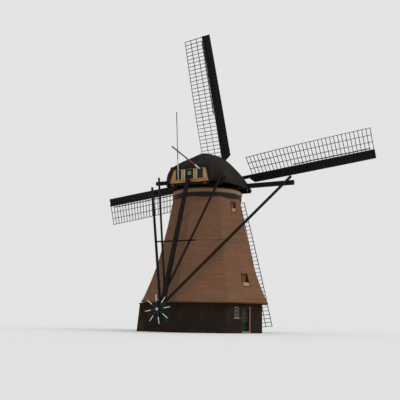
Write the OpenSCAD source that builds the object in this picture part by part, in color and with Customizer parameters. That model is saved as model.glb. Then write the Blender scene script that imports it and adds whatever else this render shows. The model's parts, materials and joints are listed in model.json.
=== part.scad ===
// Thatched eight-sided drainage mill, turned from outside by its tail pole and winch.
// Millimetres. Origin at the middle of the base on the ground, +Z up.
// The cap is drawn with its sails towards +Y and its tail towards -Y.

/* [Brick base] */
// Distance from the axis to the outer face of a base wall
base_ap = 4840; // [4300:10:5000]
// Thickness of the brick walls
wall_t = 330; // [200:10:500]
// Height of the brick walls above the ground
wall_h = 2500; // [2450:10:2700]
// Height of the floor above the ground
floor_h = 150; // [80:10:250]
// Azimuth of the side nearest the tail, from -Y towards +X
body_turn = 23; // [18:1:28]

/* [Door and window] */
// Width of the doorway
doorway_w = 960; // [860:10:1050]
// Height of the doorway above the floor
doorway_h = 1940; // [1700:10:2050]
// Middle of the doorway to the right of the middle of its side
doorway_x = 200; // [150:10:450]
// Width of the door posts
door_post_w = 90; // [60:5:120]
// Depth of the door frame from the outer face of the wall to the room side of the leaf
door_frame_d = 250; // [200:5:300]
// Thickness of the door leaf
door_leaf_t = 45; // [35:5:60]
// Width of the base window opening
base_win_w = 580; // [500:10:700]
// Height of the base window opening
base_win_h = 890; // [700:10:950]
// Sill of the base window above the ground
base_win_z = 1220; // [850:10:1300]
// Middle of the base window to the left of the middle of its side
base_win_x = 830; // [720:10:950]

/* [Thatched body] */
// Height of the lower edge of the thatch
eave_z = 2440; // [2430:10:2480]
// Reach of the lower edge of the thatch beyond the base wall
eave_out = 500; // [400:10:750]
// Height of the top of the thatch
neck_z = 11400; // [11000:50:11450]
// Distance from the axis to the thatch at its top
neck_ap = 2900; // [2800:10:2950]
// Share of the spread at the foot that is a flare
flare = 0.33; // [0.2:0.01:0.4]
// Power that shapes the flare
flare_power = 3.3; // [2.5:0.1:4]
// Thickness of thatch, boards and frame together
thatch_t = 380; // [300:10:450]
// Thickness of the rounded lower edge of the thatch
brim_t = 420; // [350:10:500]

/* [Hatches] */
// Width and height of the lower hatch
hatch_low = [800, 1120];
// Height of the middle of the lower hatch
hatch_low_z = 4340; // [4200:10:4500]
// Width and height of the upper hatch
hatch_high = [560, 940];
// Height of the middle of the upper hatch
hatch_high_z = 10620; // [10300:10:10650]
// Middle of the hatches to the right of the middle of their side
hatch_x = 350; // [250:10:450]
// Thickness of the boards of a hatch frame
hatch_board = 60; // [40:5:80]
// Height of the sloping board at the foot of a hatch
hatch_sill_h = 300; // [200:10:350]

/* [Rings under the cap] */
// Height of the dark band above the thatch
band_h = 390; // [300:10:450]
// Height of the pale ring above the band
ring_h = 350; // [300:10:400]
// Outer radius of the pale ring
ring_r = 3080; // [3020:10:3130]
// Bulge of the outer face of the pale ring
ring_bulge = 70; // [30:5:100]
// Set-back of the dark band behind the face of the pale ring
band_back = 60; // [20:5:120]
// Thickness of the boards of band and ring
ring_t = 260; // [200:10:350]

/* [Annexe] */
// Reach of the annexe beyond the base wall at the top
annexe_out = 780; // [700:10:1300]
// Width of the annexe
annexe_w = 2300; // [1800:10:2500]
// Extra reach of the battered foot
annexe_batter = 220; // [100:10:300]
// Height of the annexe without its coping
annexe_h = 2330; // [2000:10:2340]
// Thickness of the coping
coping_t = 80; // [60:5:120]

/* [Cap] */
// Running gap between the fixed ring and the cap
curb_gap = 12; // [8:1:20]
// Number of sliding blocks that carry the cap on the fixed ring
slide_blocks = 16; // [8:2:24]
// Height of the turning ring under the cap
cap_ring_h = 150; // [120:10:200]
// Height of the side beams on the ring
side_beam_h = 260; // [220:10:300]
// Distance of the side beams from the middle of the cap
side_beam_x = 1560; // [1400:10:1650]
// Half width of the cap at its eaves
cap_w = 3270; // [3100:10:3400]
// Height of the ridge at its front end
ridge_z = 15800; // [15500:50:16000]
// Drop of the ridge towards the tail
ridge_drop = 200; // [100:10:300]
// Rise of the ridge between its ends
ridge_crown = 160; // [80:10:200]
// Where the ridge ends towards the tail
ridge_back = -1000; // [-1200:50:-800]
// Front of the cap at the ridge
cap_front = 3400; // [3300:10:3600]
// Back of the cap at the gable
cap_back = -3440; // [-3500:10:-3400]
// Thickness of the cap thatch
cap_thatch_t = 280; // [220:10:340]
// Half width of the rear gable at its foot
gable_w = 1880; // [1800:10:1950]
// Half width of the rear gable at its top
gable_top_w = 1560; // [1450:10:1650]
// Height of the rear gable boards
gable_h = 1180; // [1100:10:1250]
// Thickness of the boards of the gables
board_t = 60; // [40:5:80]

/* [Tail] */
// Length of the long spruit from axis to its right brace
long_spruit_x = 6970; // [6700:10:7200]
// Length of the long spruit from axis to its left brace
long_left_x = 6690; // [6500:10:7200]
// Where the long spruit lies along the cap
long_spruit_y = 1670; // [1500:10:1900]
// Half length of the short spruit from axis to brace
short_spruit_x = 3010; // [2850:10:3150]
// Where the short spruit lies inside the gable
short_spruit_y = -3140; // [-3140:10:-3000]
// Depth of the short spruit
short_spruit_h = 300; // [260:10:340]
// Depth of the long spruit
spruit_h = 380; // [300:10:420]
// Width of the spruit beams
spruit_w = 320; // [260:10:360]
// Length of the short spruit past its braces
short_over = 360; // [300:10:450]
// Length of the long spruit past its braces
long_over = 550; // [450:10:650]
// Length of a long brace above its beam
long_head = 540; // [400:10:600]
// Length of a short brace above its beam
short_head = 380; // [300:10:450]
// How far the middle of a brace passes behind the upper edge of its beam
brace_set = 60; // [40:5:80]
// Height on the tail pole where the long braces meet it
long_foot_z = 2200; // [2000:10:2400]
// How far the foot of the left long brace is beside the middle of the pole
long_foot_left = 200; // [0:10:240]
// Height on the tail pole where the short braces meet it
short_foot_z = 3100; // [2900:10:3300]
// Width of the tail pole at its foot
pole_w = 320; // [320:10:400]
// Width of the tail pole at its head
pole_head_w = 260; // [250:10:320]
// Height of the head of the tail pole
pole_top_z = 13100; // [13000:10:13200]
// Where the middle of the head of the tail pole is
pole_top_y = -3510; // [-3540:10:-3480]
// Height of the lower end of the tail pole
pole_foot_z = 850; // [700:10:1000]
// Lean of the tail pole from upright, in degrees
pole_lean = 19.3; // [19:0.1:20]
// Width of the long braces
long_brace_w = 200; // [180:10:220]
// Width of the short braces
short_brace_w = 155; // [140:5:180]
// Height of the cross bar on the tail pole
cross_bar_z = 7340; // [7200:10:7500]
// Half length of the cross bar
cross_bar_half = 1860; // [1750:10:1950]
// Thickness of the cross bar
cross_bar_t = 110; // [90:5:130]
// Height at which the cables meet the long braces
cable_z = 7600; // [7500:10:7700]
// Radius of the cables
cable_r = 14; // [8:1:20]

/* [Winch] */
// Height of the winch axle
winch_z = 1810; // [1700:10:1900]
// Distance of the winch wheel behind the middle of the pole
wheel_out = 600; // [560:10:650]
// Radius over the tips of the spokes
wheel_r = 1150; // [1000:10:1200]
// Number of spokes
wheel_spokes = 8; // [6:1:8]
// Turn of the wheel at rest in degrees
wheel_turn = 9; // [0:1:22]
// Radius of the winch axle
axle_r = 55; // [40:1:70]
// Running gap round the winch axle, the windshaft and the hinge pins
run_gap = 0.5; // [0.3:0.1:1]

/* [Sails] */
// Length of a sail from the shaft to its tip
sail_r = 14000; // [13500:50:14100]
// Tilt of the windshaft in degrees
shaft_tilt = 10; // [9:0.5:12]
// Height of the middle of the poll end
hub_z = 14060; // [14050:10:14200]
// Where the middle of the poll end is in front of the axis
hub_y = 4300; // [4250:10:4500]
// Turn of the sails at rest in degrees
sail_turn = 6.4; // [0:0.1:10]
// Distance between the middles of the two stocks along the shaft
stock_gap = 600; // [560:10:700]
// Width of a stock at the poll end
stock_w = 320; // [280:10:340]
// Width of a stock at its tip
stock_tip_w = 180; // [150:10:200]
// Depth of a stock at its tip
stock_tip_d = 150; // [120:10:170]
// Radius of the windshaft
shaft_r = 260; // [220:5:280]
// Length of the windshaft inside the cap
shaft_len = 5600; // [5400:50:6000]
// Where the lattice starts from the shaft
lattice_start = 2350; // [2200:10:2600]
// Reach of the lattice behind the middle of the stock at its root
lattice_root_w = 1970; // [1800:10:2000]
// Reach of the lattice behind the middle of the stock at its tip
lattice_tip_w = 1990; // [1880:10:2100]
// Number of rungs on a sail
rungs = 33; // [28:1:34]
// Thickness of a rung
rung_t = 50; // [40:1:60]
// Twist of a sail at its root in degrees
twist_root = 28; // [16:1:30]
// Twist of a sail at its tip in degrees
twist_tip = 0; // [-4:1:2]
// Where the leading boards start from the shaft
lead_from = 1950; // [1850:10:2100]
// Reach of the leading boards ahead of the stock's middle at the root
lead_root = 690; // [620:10:760]
// Reach of the leading boards ahead of the stock's middle at the tip
lead_tip = 700; // [620:10:760]
// Thickness of the leading boards
lead_t = 25; // [18:1:35]
// Length of the slanting root of the leading boards
lead_point = 380; // [200:10:450]
// Number of board lengths on a sail
lead_boards = 4; // [3:1:5]
// Where a rolled cloth starts from the shaft
roll_from = 6500; // [6000:50:7000]
// Where a rolled cloth ends
roll_to = 13600; // [13000:50:13800]
// Radius of a rolled cloth
roll_r = 60; // [45:5:75]

/* [Hidden] */
SIDES = 8;
eave_ap = base_ap + eave_out;
half_side = 180 / SIDES;
// Clearance left between large faces that meet
joint_gap = 0.3;
band_z = neck_z + joint_gap;
ring_z = band_z + band_h;
band_r = ring_r - band_back;
ring_top = ring_z + ring_h;
cap_z = ring_top + curb_gap;
side_beam_z = cap_z + cap_ring_h;
cap_eave_z = side_beam_z + side_beam_h;
cross_beam_h = side_beam_h - 60;
bolster_h = 110;
door_side = 1;
pole_dir = [0, -sin(pole_lean), -cos(pole_lean)];
long_spruit_z = cap_eave_z + bolster_h + spruit_h / 2;
short_spruit_z = cap_eave_z + short_spruit_h / 2;
sail_len = sail_r - lattice_start;
rung_inset = 60;
stock_d = stock_w;
// Half length of the untapered middle of a stock
stock_root = 600;
rung_pitch = (sail_len - 2 * rung_inset) / (rungs - 1);

// A point of the tail pole's middle line at height z
function pole_at(z) = [0, pole_top_y - (pole_top_z - z) * tan(pole_lean), z];
// Distance from the axis to the thatch at height z
function body_ap(z) = let (s = (neck_z - z) / (neck_z - eave_z), spread = eave_ap - neck_ap)
    neck_ap + spread * ((1 - flare) * s + flare * pow(s, flare_power));
// Twist of a sail at distance r from the shaft
function twist(r) = twist_root + (twist_tip - twist_root) * (r - lattice_start) / sail_len;
// A point of a sail at distance r, s ahead of the stock and f in front of the rungs' middle
function sail_pt(r, s, f) = [s * cos(twist(r)) - f * sin(twist(r)),
    s * sin(twist(r)) + f * cos(twist(r)), r];
// Half width of a stock at distance r
function stock_half(r) = (stock_w + (stock_tip_w - stock_w) * (r - stock_root) / (sail_r - stock_root)) / 2;
// Where the leading boards start ahead of the stock's middle
function lead_start(r) = (stock_half(r) + 10 + (rung_t / 2 + lead_t + 1) * abs(sin(twist(r)))) / cos(twist(r));
function lead_at(r) = lead_root + (lead_tip - lead_root) * (r - lead_from) / (sail_r - lead_from);
// Reach of the lattice behind the stock's middle
function lattice_at(r) = lattice_root_w + (lattice_tip_w - lattice_root_w) * (r - lattice_start) / sail_len;

// Straight timber between two points; w across, h in the upright plane
module timber(p, q, w, h) {
    d = q - p;
    translate(p) rotate([0, acos(d.z / norm(d)), atan2(d.y, d.x)])
        translate([-h / 2, -w / 2, 0]) cube([h, w, norm(d)]);
}

// Straight round bar between two points
module rod(p, q, r) {
    d = q - p;
    translate(p) rotate([0, acos(d.z / norm(d)), atan2(d.y, d.x)]) cylinder(r = r, h = norm(d), $fn = 24);
}

// Turns its children to a side of the body; -Y is outwards
module at_side(i) rotate([0, 0, body_turn + i * 2 * half_side]) children();

// Solid through rings of points that run anticlockwise seen from the last ring
module loft(rings) {
    n = len(rings[0]);
    m = len(rings);
    polyhedron([for (r = rings) each r], concat(
        [for (i = [1:n - 2]) [0, i, i + 1]],
        [for (j = [0:m - 2], i = [0:n - 1]) let (k = (i + 1) % n)
            each [[j * n + i, (j + 1) * n + i, j * n + k], [j * n + k, (j + 1) * n + i, (j + 1) * n + k]]],
        [for (i = [1:n - 2]) [(m - 1) * n, (m - 1) * n + i + 1, (m - 1) * n + i]]), convexity = 6);
}

// One wall of the base between two places along its side
module base_wall(x0, x1, z0, z1) {
    t = tan(half_side);
    intersection() {
        translate([0, 0, z0]) linear_extrude(z1 - z0) polygon([
            [-base_ap * t, -base_ap], [base_ap * t, -base_ap],
            [(base_ap - wall_t) * t, wall_t - base_ap], [(wall_t - base_ap) * t, wall_t - base_ap]]);
        translate([x0, -base_ap - 1, z0]) cube([x1 - x0, wall_t + 2, z1 - z0]);
    }
}

module plain_base_sides(list) color("#5a3f34") for (i = list)
    at_side(i) base_wall(-base_ap, base_ap, 0, wall_h);

door_l = doorway_x - doorway_w / 2;
door_r = doorway_x + doorway_w / 2;
door_top = floor_h + doorway_h;

module floor_slab() color("#8d857a") rotate([0, 0, body_turn + half_side])
    cylinder(r = (base_ap - wall_t) / cos(half_side), h = floor_h, $fn = SIDES);

module wall_left_of_door() color("#5a3f34") at_side(door_side) difference() {
    base_wall(-base_ap, door_l, 0, wall_h);
    translate([-base_win_x - base_win_w / 2, -base_ap - 1, base_win_z])
        cube([base_win_w, wall_t + 2, base_win_h]);
}

module wall_right_of_door() color("#5a3f34") at_side(door_side) base_wall(door_r, base_ap, 0, wall_h);

module wall_over_door() color("#5a3f34") at_side(door_side) base_wall(door_l, door_r, door_top, wall_h);

module threshold() color("#b9b2a4") at_side(door_side)
    translate([door_l, -base_ap - 40, 0]) cube([doorway_w, wall_t + 40, floor_h]);

module door_frame() color("#c98a3a") at_side(door_side) {
    translate([door_l, -base_ap, floor_h]) difference() {
        cube([doorway_w, door_frame_d, doorway_h]);
        translate([door_post_w, -1, -1])
            cube([doorway_w - 2 * door_post_w, door_frame_d + 2, doorway_h - door_post_w + 1]);
    }
    for (z = hinge_zs) translate([hinge_x, hinge_y, z]) {
        cylinder(r = pin_r, h = knuckle_h * 2, $fn = 32);
        cylinder(r = knuckle_r, h = knuckle_h - 1);
        translate([-60, -base_hinge_d, 0]) cube([60, knuckle_r + base_hinge_d, knuckle_h - 1]);
    }
}

leaf_gap = 8;
leaf_w = doorway_w - 2 * door_post_w - 2 * leaf_gap;
leaf_h = doorway_h - door_post_w - 2 * leaf_gap;
leaf_x = door_l + door_post_w + leaf_gap;
leaf_z = floor_h + leaf_gap;
hinge_x = leaf_x - leaf_gap / 2;
base_hinge_d = 20;
leaf_in = door_frame_d - base_ap;
hinge_y = leaf_in + base_hinge_d;
pin_r = 8;
knuckle_r = 16;
knuckle_h = 40;
hinge_zs = [leaf_z + 250, leaf_z + leaf_h - 380];
strap_l = 420;
strap_t = 8;
pane_z = leaf_h * 0.46;
pane_m = 90;

module door_leaf() color("#2f5a3c") at_side(door_side) {
    translate([leaf_x, leaf_in - door_leaf_t, leaf_z]) difference() {
        cube([leaf_w, door_leaf_t, leaf_h]);
        translate([pane_m, -1, pane_z]) cube([leaf_w - 2 * pane_m, door_leaf_t + 2, leaf_h - pane_m - pane_z]);
    }
    for (z = hinge_zs) translate([hinge_x, hinge_y, z + knuckle_h + run_gap]) difference() {
        union() {
            cylinder(r = knuckle_r, h = knuckle_h);
            translate([0, -base_hinge_d, 0]) cube([strap_l, strap_t, knuckle_h]);
        }
        translate([0, 0, -1]) cylinder(r = pin_r + run_gap, h = knuckle_h + 2);
    }
}

module door_glass() color("#9fb3b5") at_side(door_side)
    translate([leaf_x + pane_m, leaf_in - door_leaf_t + 16, leaf_z + pane_z])
        cube([leaf_w - 2 * pane_m, 12, leaf_h - pane_m - pane_z]);

win_bar = 60;
module base_window() color("#e8e4d8") at_side(door_side)
    translate([-base_win_x - base_win_w / 2, -base_ap + 60, base_win_z]) difference() {
        cube([base_win_w, 80, base_win_h]);
        translate([win_bar, -1, win_bar]) cube([base_win_w - 2 * win_bar, 82, base_win_h - 2 * win_bar]);
    }

module base_window_glass() color("#5d6b6c") at_side(door_side)
    translate([-base_win_x - base_win_w / 2 + win_bar, -base_ap + 94, base_win_z + win_bar])
        cube([base_win_w - 2 * win_bar, 12, base_win_h - 2 * win_bar]);

annexe_side = 6;
module annexe() color("#5a3f34") at_side(annexe_side) rotate([90, 0, 90])
    translate([0, 0, -annexe_w / 2]) linear_extrude(annexe_w) polygon([
        [-base_ap, 0], [-base_ap - annexe_out - annexe_batter, 0],
        [-base_ap - annexe_out, annexe_h], [-base_ap, annexe_h]]);

module annexe_coping() color("#3a3330") at_side(annexe_side)
    translate([-annexe_w / 2 - 60, -base_ap - annexe_out - 60, annexe_h])
        cube([annexe_w + 120, annexe_out + 60, coping_t]);

// Section of the thatch of one side: distance outwards and height
thatch_steps = 7;
thatch_section = concat(
    [for (j = [0:thatch_steps]) let (z = eave_z + (neck_z - eave_z) * j / thatch_steps) [-body_ap(z), z]],
    [for (j = [thatch_steps:-1:1]) let (z = eave_z + (neck_z - eave_z) * j / thatch_steps)
        [thatch_t - body_ap(z), z]],
    [[wall_t - base_ap, wall_h], [-base_ap, wall_h], [-eave_ap + brim_t, eave_z]]);

module hatch_hole(size, z) translate([hatch_x - size.x / 2, -body_ap(z) - 500, z - size.y / 2])
    cube([size.x, 1400, size.y]);

// The thatch of a side without its mitres, moved outwards
module thatch_coat(out) translate([0, -out, 0]) rotate([90, 0, 90]) translate([0, 0, -eave_ap])
    linear_extrude(2 * eave_ap) polygon(thatch_section);

module thatch_side(i) at_side(i) difference() {
    intersection() {
        thatch_coat(0);
        translate([0, -joint_gap, 0]) linear_extrude(neck_z + 1) polygon([[0, 0],
            [-2 * eave_ap * tan(half_side), -2 * eave_ap], [2 * eave_ap * tan(half_side), -2 * eave_ap]]);
    }
    if (i == door_side) {
        hatch_hole(hatch_low, hatch_low_z);
        hatch_hole(hatch_high, hatch_high_z);
    }
}

// Frame of a hatch, cut off along the slope of the thatch
module hatch_frame(size, z) difference() {
    intersection() {
        hatch_hole(size, z);
        union() {
            thatch_coat(15);
            thatch_coat(-150);
        }
    }
    hatch_hole(size - [2 * hatch_board, 2 * hatch_board], z);
}

module hatch_frames() color("#3a2a1e") at_side(door_side) {
    hatch_frame(hatch_low, hatch_low_z);
    hatch_frame(hatch_high, hatch_high_z);
}

leaf_back = 70;
module hatch_leaf(size, z) translate([hatch_x + hatch_board - size.x / 2, leaf_back - body_ap(z + size.y / 2),
        z - size.y / 2 + hatch_board])
    cube([size.x - 2 * hatch_board, 40, size.y - 2 * hatch_board]);

module hatch_leaves() color("#7a4c28") at_side(door_side) {
    hatch_leaf(hatch_low, hatch_low_z);
    hatch_leaf(hatch_high, hatch_high_z);
}

// Sloping board that closes the foot of a hatch, flush with the thatch
module hatch_sill(size, z) difference() {
    intersection() {
        translate([0, 0, hatch_board - (size.y - hatch_sill_h) / 2])
            hatch_hole([size.x - 2 * hatch_board, hatch_sill_h], z);
        thatch_coat(0);
    }
    thatch_coat(-35);
}

module hatch_sills() color("#b9906a") at_side(door_side) {
    hatch_sill(hatch_low, hatch_low_z);
    hatch_sill(hatch_high, hatch_high_z);
}

module dark_band() color("#2a2521") translate([0, 0, band_z]) difference() {
    cylinder(r = band_r, h = band_h, $fn = 96);
    translate([0, 0, -1]) cylinder(r = band_r - ring_t, h = band_h + 2, $fn = 96);
}

// Pale ring with a bulged outer face
ring_in = ring_r - ring_t - 180;
module pale_ring() color("#d8d2b4") translate([0, 0, ring_z]) rotate_extrude($fn = 96) polygon(concat(
    [[ring_in, 0]],
    [for (a = [-90:30:90]) [ring_r - ring_bulge * (1 - cos(a)), ring_h / 2 * (1 + sin(a))]],
    [[ring_in, ring_h]]));

// Cap timbers: turning ring, side beams, cross beams and the beams that carry the shaft
cap_ring_r = ring_in + 170;
side_beam_w = 260;
gable_y = cap_back + 60;
side_beam_back = gable_y - 100;
breast_y = 2960;
breast_w = 300;
tail_beam_y = -1700;
front_y = cap_front - 220;
cross_beam_w = 260;
cross_beams = [[gable_y + board_t / 2, gable_w - 20], [-2400, 2600], [0, cap_w - 120], [2500, cap_w - 220]];

// Height of the middle of the windshaft at y
function shaft_z(y) = hub_z - (hub_y - y) * tan(shaft_tilt);

module at_shaft() translate([0, hub_y, hub_z]) rotate([shaft_tilt, 0, 0]) children();

module shaft_room(r) at_shaft() rotate([90, 0, 0]) cylinder(r = r, h = 1.25 * shaft_len);

// Beam that carries the shaft at y, on two posts where the shaft lies high
module bearing_beam(y, half) {
    top = shaft_z(y) - 80;
    foot = max(cap_eave_z, top - 480);
    translate([-half, y - breast_w / 2, foot]) cube([2 * half, breast_w, top - foot]);
    if (foot > cap_eave_z) for (s = [-1, 1])
        translate([s * side_beam_x - side_beam_w / 2, y - breast_w / 2, cap_eave_z])
            cube([side_beam_w, breast_w, foot - cap_eave_z]);
}

module cap_ring() color("#3b2f26") {
    translate([0, 0, cap_z]) linear_extrude(cap_ring_h) difference() {
        circle(r = cap_ring_r, $fn = 96);
        circle(r = cap_ring_r - 300, $fn = 96);
    }
    for (i = [0:slide_blocks - 1]) rotate([0, 0, (i + 0.5) * 360 / slide_blocks])
        translate([cap_ring_r - 150, -100, ring_top + run_gap]) cube([110, 200, curb_gap - run_gap + 5]);
}

module side_beam(s, grow) translate([s * side_beam_x - side_beam_w / 2 - grow, side_beam_back, side_beam_z])
    cube([side_beam_w + 2 * grow, front_y - side_beam_back, side_beam_h]);

module side_beams() color("#3b2f26") for (s = [-1, 1]) {
    side_beam(s, 0);
    translate([s * side_beam_x - side_beam_w / 2, long_spruit_y - spruit_w / 2, cap_eave_z])
        cube([side_beam_w, spruit_w, bolster_h]);
}

module cross_beams() color("#3b2f26") difference() {
    for (b = cross_beams) translate([-b[1], b[0] - cross_beam_w / 2, cap_eave_z - cross_beam_h])
        cube([2 * b[1], cross_beam_w, cross_beam_h]);
    for (s = [-1, 1]) side_beam(s, joint_gap);
}

module shaft_beams() color("#3b2f26") difference() {
    for (y = [breast_y, tail_beam_y]) bearing_beam(y, side_beam_x + side_beam_w / 2);
    shaft_room(shaft_r + run_gap);
}

// Outline of the cap thatch: place along the cap, half width, ridge height, roundness
cap_mid = (cap_front + ridge_back) / 2;
cap_stations = [
    [cap_back, gable_w + cap_thatch_t, cap_eave_z + gable_h + cap_thatch_t * 1.15, 4],
    [cap_back + 700, cap_w - 620, ridge_z - ridge_drop - 1200, 2.6],
    [cap_back + 1500, cap_w - 260, ridge_z - ridge_drop - 480, 1.7],
    [ridge_back, cap_w - 40, ridge_z - ridge_drop, 1.3],
    [cap_mid - 400, cap_w, ridge_z + ridge_crown / 4, 1.2],
    [cap_front - 1100, cap_w - 60, ridge_z + ridge_crown, 1.2],
    [cap_front - 200, cap_w - 440, ridge_z, 1.2]];
cap_arc = 10;

// Outline of the thatch at a station from place x and height foot: places across and heights
function outline(st, x, foot) = let (e = 2 / st[3], h = st[2] - cap_eave_z) concat([[x, foot], [st[1], foot]],
    [for (k = [0:cap_arc]) let (a = 90 * k / cap_arc) [st[1] * pow(cos(a), e), h * pow(max(0, sin(a)), e)]],
    [[x, h]]);

// Station inside the thatch
function inside(st) = [st[0], st[1] - cap_thatch_t, st[2] - cap_thatch_t * 1.15, st[3]];

// Outline of the opening that the gable fills, clear of the thatch by c
function gable_outline(c) = [[-gable_w + c, 0], [gable_w - c, 0], [gable_top_w - c, gable_h - c],
    [c - gable_top_w, gable_h - c]];

// Thin slice at a station, moved along the cap by over
module slice(st, points, over) translate([0, st[0] + over, cap_eave_z]) rotate([90, 0, 0])
    linear_extrude(1, center = true) polygon(points);

module thatch_bay(i) hull() for (st = [cap_stations[i], cap_stations[i + 1]]) slice(st, outline(st, 0, 0), 0);

module room_bay(i) hull() for (j = [i, i + 1]) let (st = inside(cap_stations[j]), last = len(cap_stations) - 1)
    slice(st, j == 0 ? gable_outline(0) : outline(st, -1, -1), j == 0 ? -5 : j == last ? 5 : 0);

// One half of the cap thatch, cut for the spruits; side 1 is the right half
module cap_thatch(side) color("#4a4638") mirror([side > 0 ? 0 : 1, 0, 0]) difference() {
    for (i = [0:len(cap_stations) - 2]) thatch_bay(i);
    for (i = [0:len(cap_stations) - 2]) room_bay(i);
    long_spruit();
    short_spruit();
}

gable_win = [[-1050, 530, 850], [0, 780, 880], [1050, 530, 850]];
gable_win_z = 260;
sill_out = 200;
sill_t = 60;
sill_half = gable_w - 130;

module gable_window_holes() for (w = gable_win)
    translate([w[0] - w[1] / 2, gable_y - 100, cap_eave_z + gable_win_z]) cube([w[1], 300, w[2]]);

module rear_gable() color("#c2a262") difference() {
    union() {
        translate([0, gable_y + board_t, cap_eave_z]) rotate([90, 0, 0]) linear_extrude(board_t)
            polygon(gable_outline(joint_gap));
        translate([-sill_half, gable_y - sill_out, cap_eave_z + gable_win_z - sill_t])
            cube([2 * sill_half, sill_out, sill_t]);
    }
    gable_window_holes();
    pole_solid(4);
}

module gable_windows() color("#4f8a7c") intersection() {
    gable_window_holes();
    translate([-gable_w, gable_y + 20, cap_eave_z]) cube([2 * gable_w, 30, gable_h]);
}

module front_boards() color("#3c4a33") difference() {
    last = inside(cap_stations[len(cap_stations) - 1]);
    for (m = [0, 1]) mirror([m, 0, 0]) translate([0, front_y, cap_eave_z]) rotate([90, 0, 0])
        linear_extrude(board_t) polygon(outline([last[0], last[1] - 10, last[2] - 10, last[3]], 0, 0));
    shaft_room(shaft_r + 40);
}

module spruit(left, right, y, z, h) color("#241f1b")
    translate([-left, y - spruit_w / 2, z - h / 2]) cube([left + right, spruit_w, h]);

module long_spruit()
    spruit(long_left_x + long_over, long_spruit_x + long_over, long_spruit_y, long_spruit_z, spruit_h);

short_half = short_spruit_x + short_over;
module short_spruit() spruit(short_half, short_half, short_spruit_y, short_spruit_z, short_spruit_h);

// The tapered tail pole, grown by a clearance
module pole_solid(grow) {
    l = (pole_top_z - pole_foot_z) / cos(pole_lean);
    foot = pole_w / 2 + grow;
    head = pole_head_w / 2 + grow;
    translate(pole_at(pole_foot_z)) rotate([-pole_lean, 0, 0]) intersection() {
        rotate([90, 0, 0]) linear_extrude(2 * pole_w, center = true)
            polygon([[-foot, -grow], [foot, -grow], [head, l + grow], [-head, l + grow]]);
        rotate([90, 0, 90]) linear_extrude(2 * pole_w, center = true)
            polygon([[-foot, -grow], [foot, -grow], [head, l + grow], [-head, l + grow]]);
    }
}

wheel_y = pole_at(winch_z).y - wheel_out;
// Depth of the cutters that end the pole and clear the axle
cut_reach = 2000;

module axle_room(r) translate([0, wheel_y - 200, winch_z]) rotate([-90, 0, 0]) cylinder(r = r, h = cut_reach);

module tail_pole() color("#241f1b") difference() {
    pole_solid(0);
    translate([-pole_w, gable_y, pole_foot_z]) cube([2 * pole_w, cut_reach, 2 * gable_h + pole_top_z]);
    axle_room(axle_r + run_gap);
    translate([-pole_w, wheel_y - cut_reach + 120, 0]) cube([2 * pole_w, cut_reach, winch_z + 600]);
}

// One brace from the pole to above its beam, cut to seat on both
module brace(foot, head, w, over) color("#241f1b") difference() {
    timber(foot, head + (head - foot) * over / norm(head - foot), w, w);
    pole_solid(0);
    spruit(2 * long_spruit_x, 2 * long_spruit_x, head.y + spruit_w / 2 + brace_set, head.z - spruit_h, 2 * spruit_h);
}

function long_foot(s) = pole_at(long_foot_z) - [s < 0 ? long_foot_left : 0, 0, 0];
function long_head_at(s) = [s < 0 ? -long_left_x : long_spruit_x, long_spruit_y - spruit_w / 2 - brace_set,
    long_spruit_z + spruit_h / 2];
function short_head_at(s) = [s * short_spruit_x, short_spruit_y - spruit_w / 2 - brace_set,
    short_spruit_z + short_spruit_h / 2];

// The two boards that hold the winch, one on each side of the pole
module cheek_boards() for (s = [0, 1]) mirror([s, 0, 0]) translate([cheek_x, wheel_y + 160, pole_foot_z - 100])
    cube([cheek_t, cheek_d, cheek_h]);

module long_braces() difference() {
    for (s = [-1, 1]) brace(long_foot(s), long_head_at(s), long_brace_w, long_head);
    cheek_boards();
}

module short_braces() for (s = [-1, 1]) brace(pole_at(short_foot_z), short_head_at(s), short_brace_w, short_head);

// A point at height z on the middle line of a brace
function on_brace(foot, head, z) = foot + (head - foot) * (z - foot.z) / (head.z - foot.z);

cross_bar_y = on_brace(pole_at(short_foot_z), short_head_at(1), cross_bar_z).y - (short_brace_w + cross_bar_t) / 2 + 20;

module cross_bar() color("#241f1b") difference() {
    translate([-cross_bar_half, cross_bar_y - cross_bar_t / 2, cross_bar_z - cross_bar_t / 2])
        cube([2 * cross_bar_half, cross_bar_t, cross_bar_t]);
    pole_solid(0);
    short_braces();
}

module tie_cables() color("#3a3632") difference() {
    for (s = [-1, 1]) rod([s * cross_bar_half, cross_bar_y, cross_bar_z],
        on_brace(long_foot(s), long_head_at(s), cable_z), cable_r);
    cross_bar();
    long_braces();
}

cheek_t = 90;
cheek_d = 700;
cheek_h = 1700;
chain_box = [400, 420, 500];
cheek_x = pole_w / 2 - 6;
module winch_cheeks() color("#1f3a2c") difference() {
    union() {
        cheek_boards();
        translate([cheek_x + cheek_t, wheel_y + 260, pole_foot_z - 100]) cube(chain_box);
    }
    pole_solid(0);
    axle_room(axle_r + run_gap);
}

module winch_axle() color("#2b2b2b") translate([0, wheel_y - 120, winch_z]) rotate([-90, 0, 0])
    cylinder(r = axle_r, h = wheel_out + 500, $fn = 48);

hub_r = 130;
spoke_w = 80;
module winch_wheel() color("#dfe3dc") difference() {
    translate([0, wheel_y, winch_z]) rotate([90, 0, 0]) {
        cylinder(r = hub_r, h = 120, center = true);
        for (i = [0:wheel_spokes - 1]) rotate([0, 0, wheel_turn + i * 360 / wheel_spokes])
            translate([-spoke_w / 2, 0, -spoke_w / 2]) cube([spoke_w, wheel_r, spoke_w]);
    }
    axle_room(axle_r);
}

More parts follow.
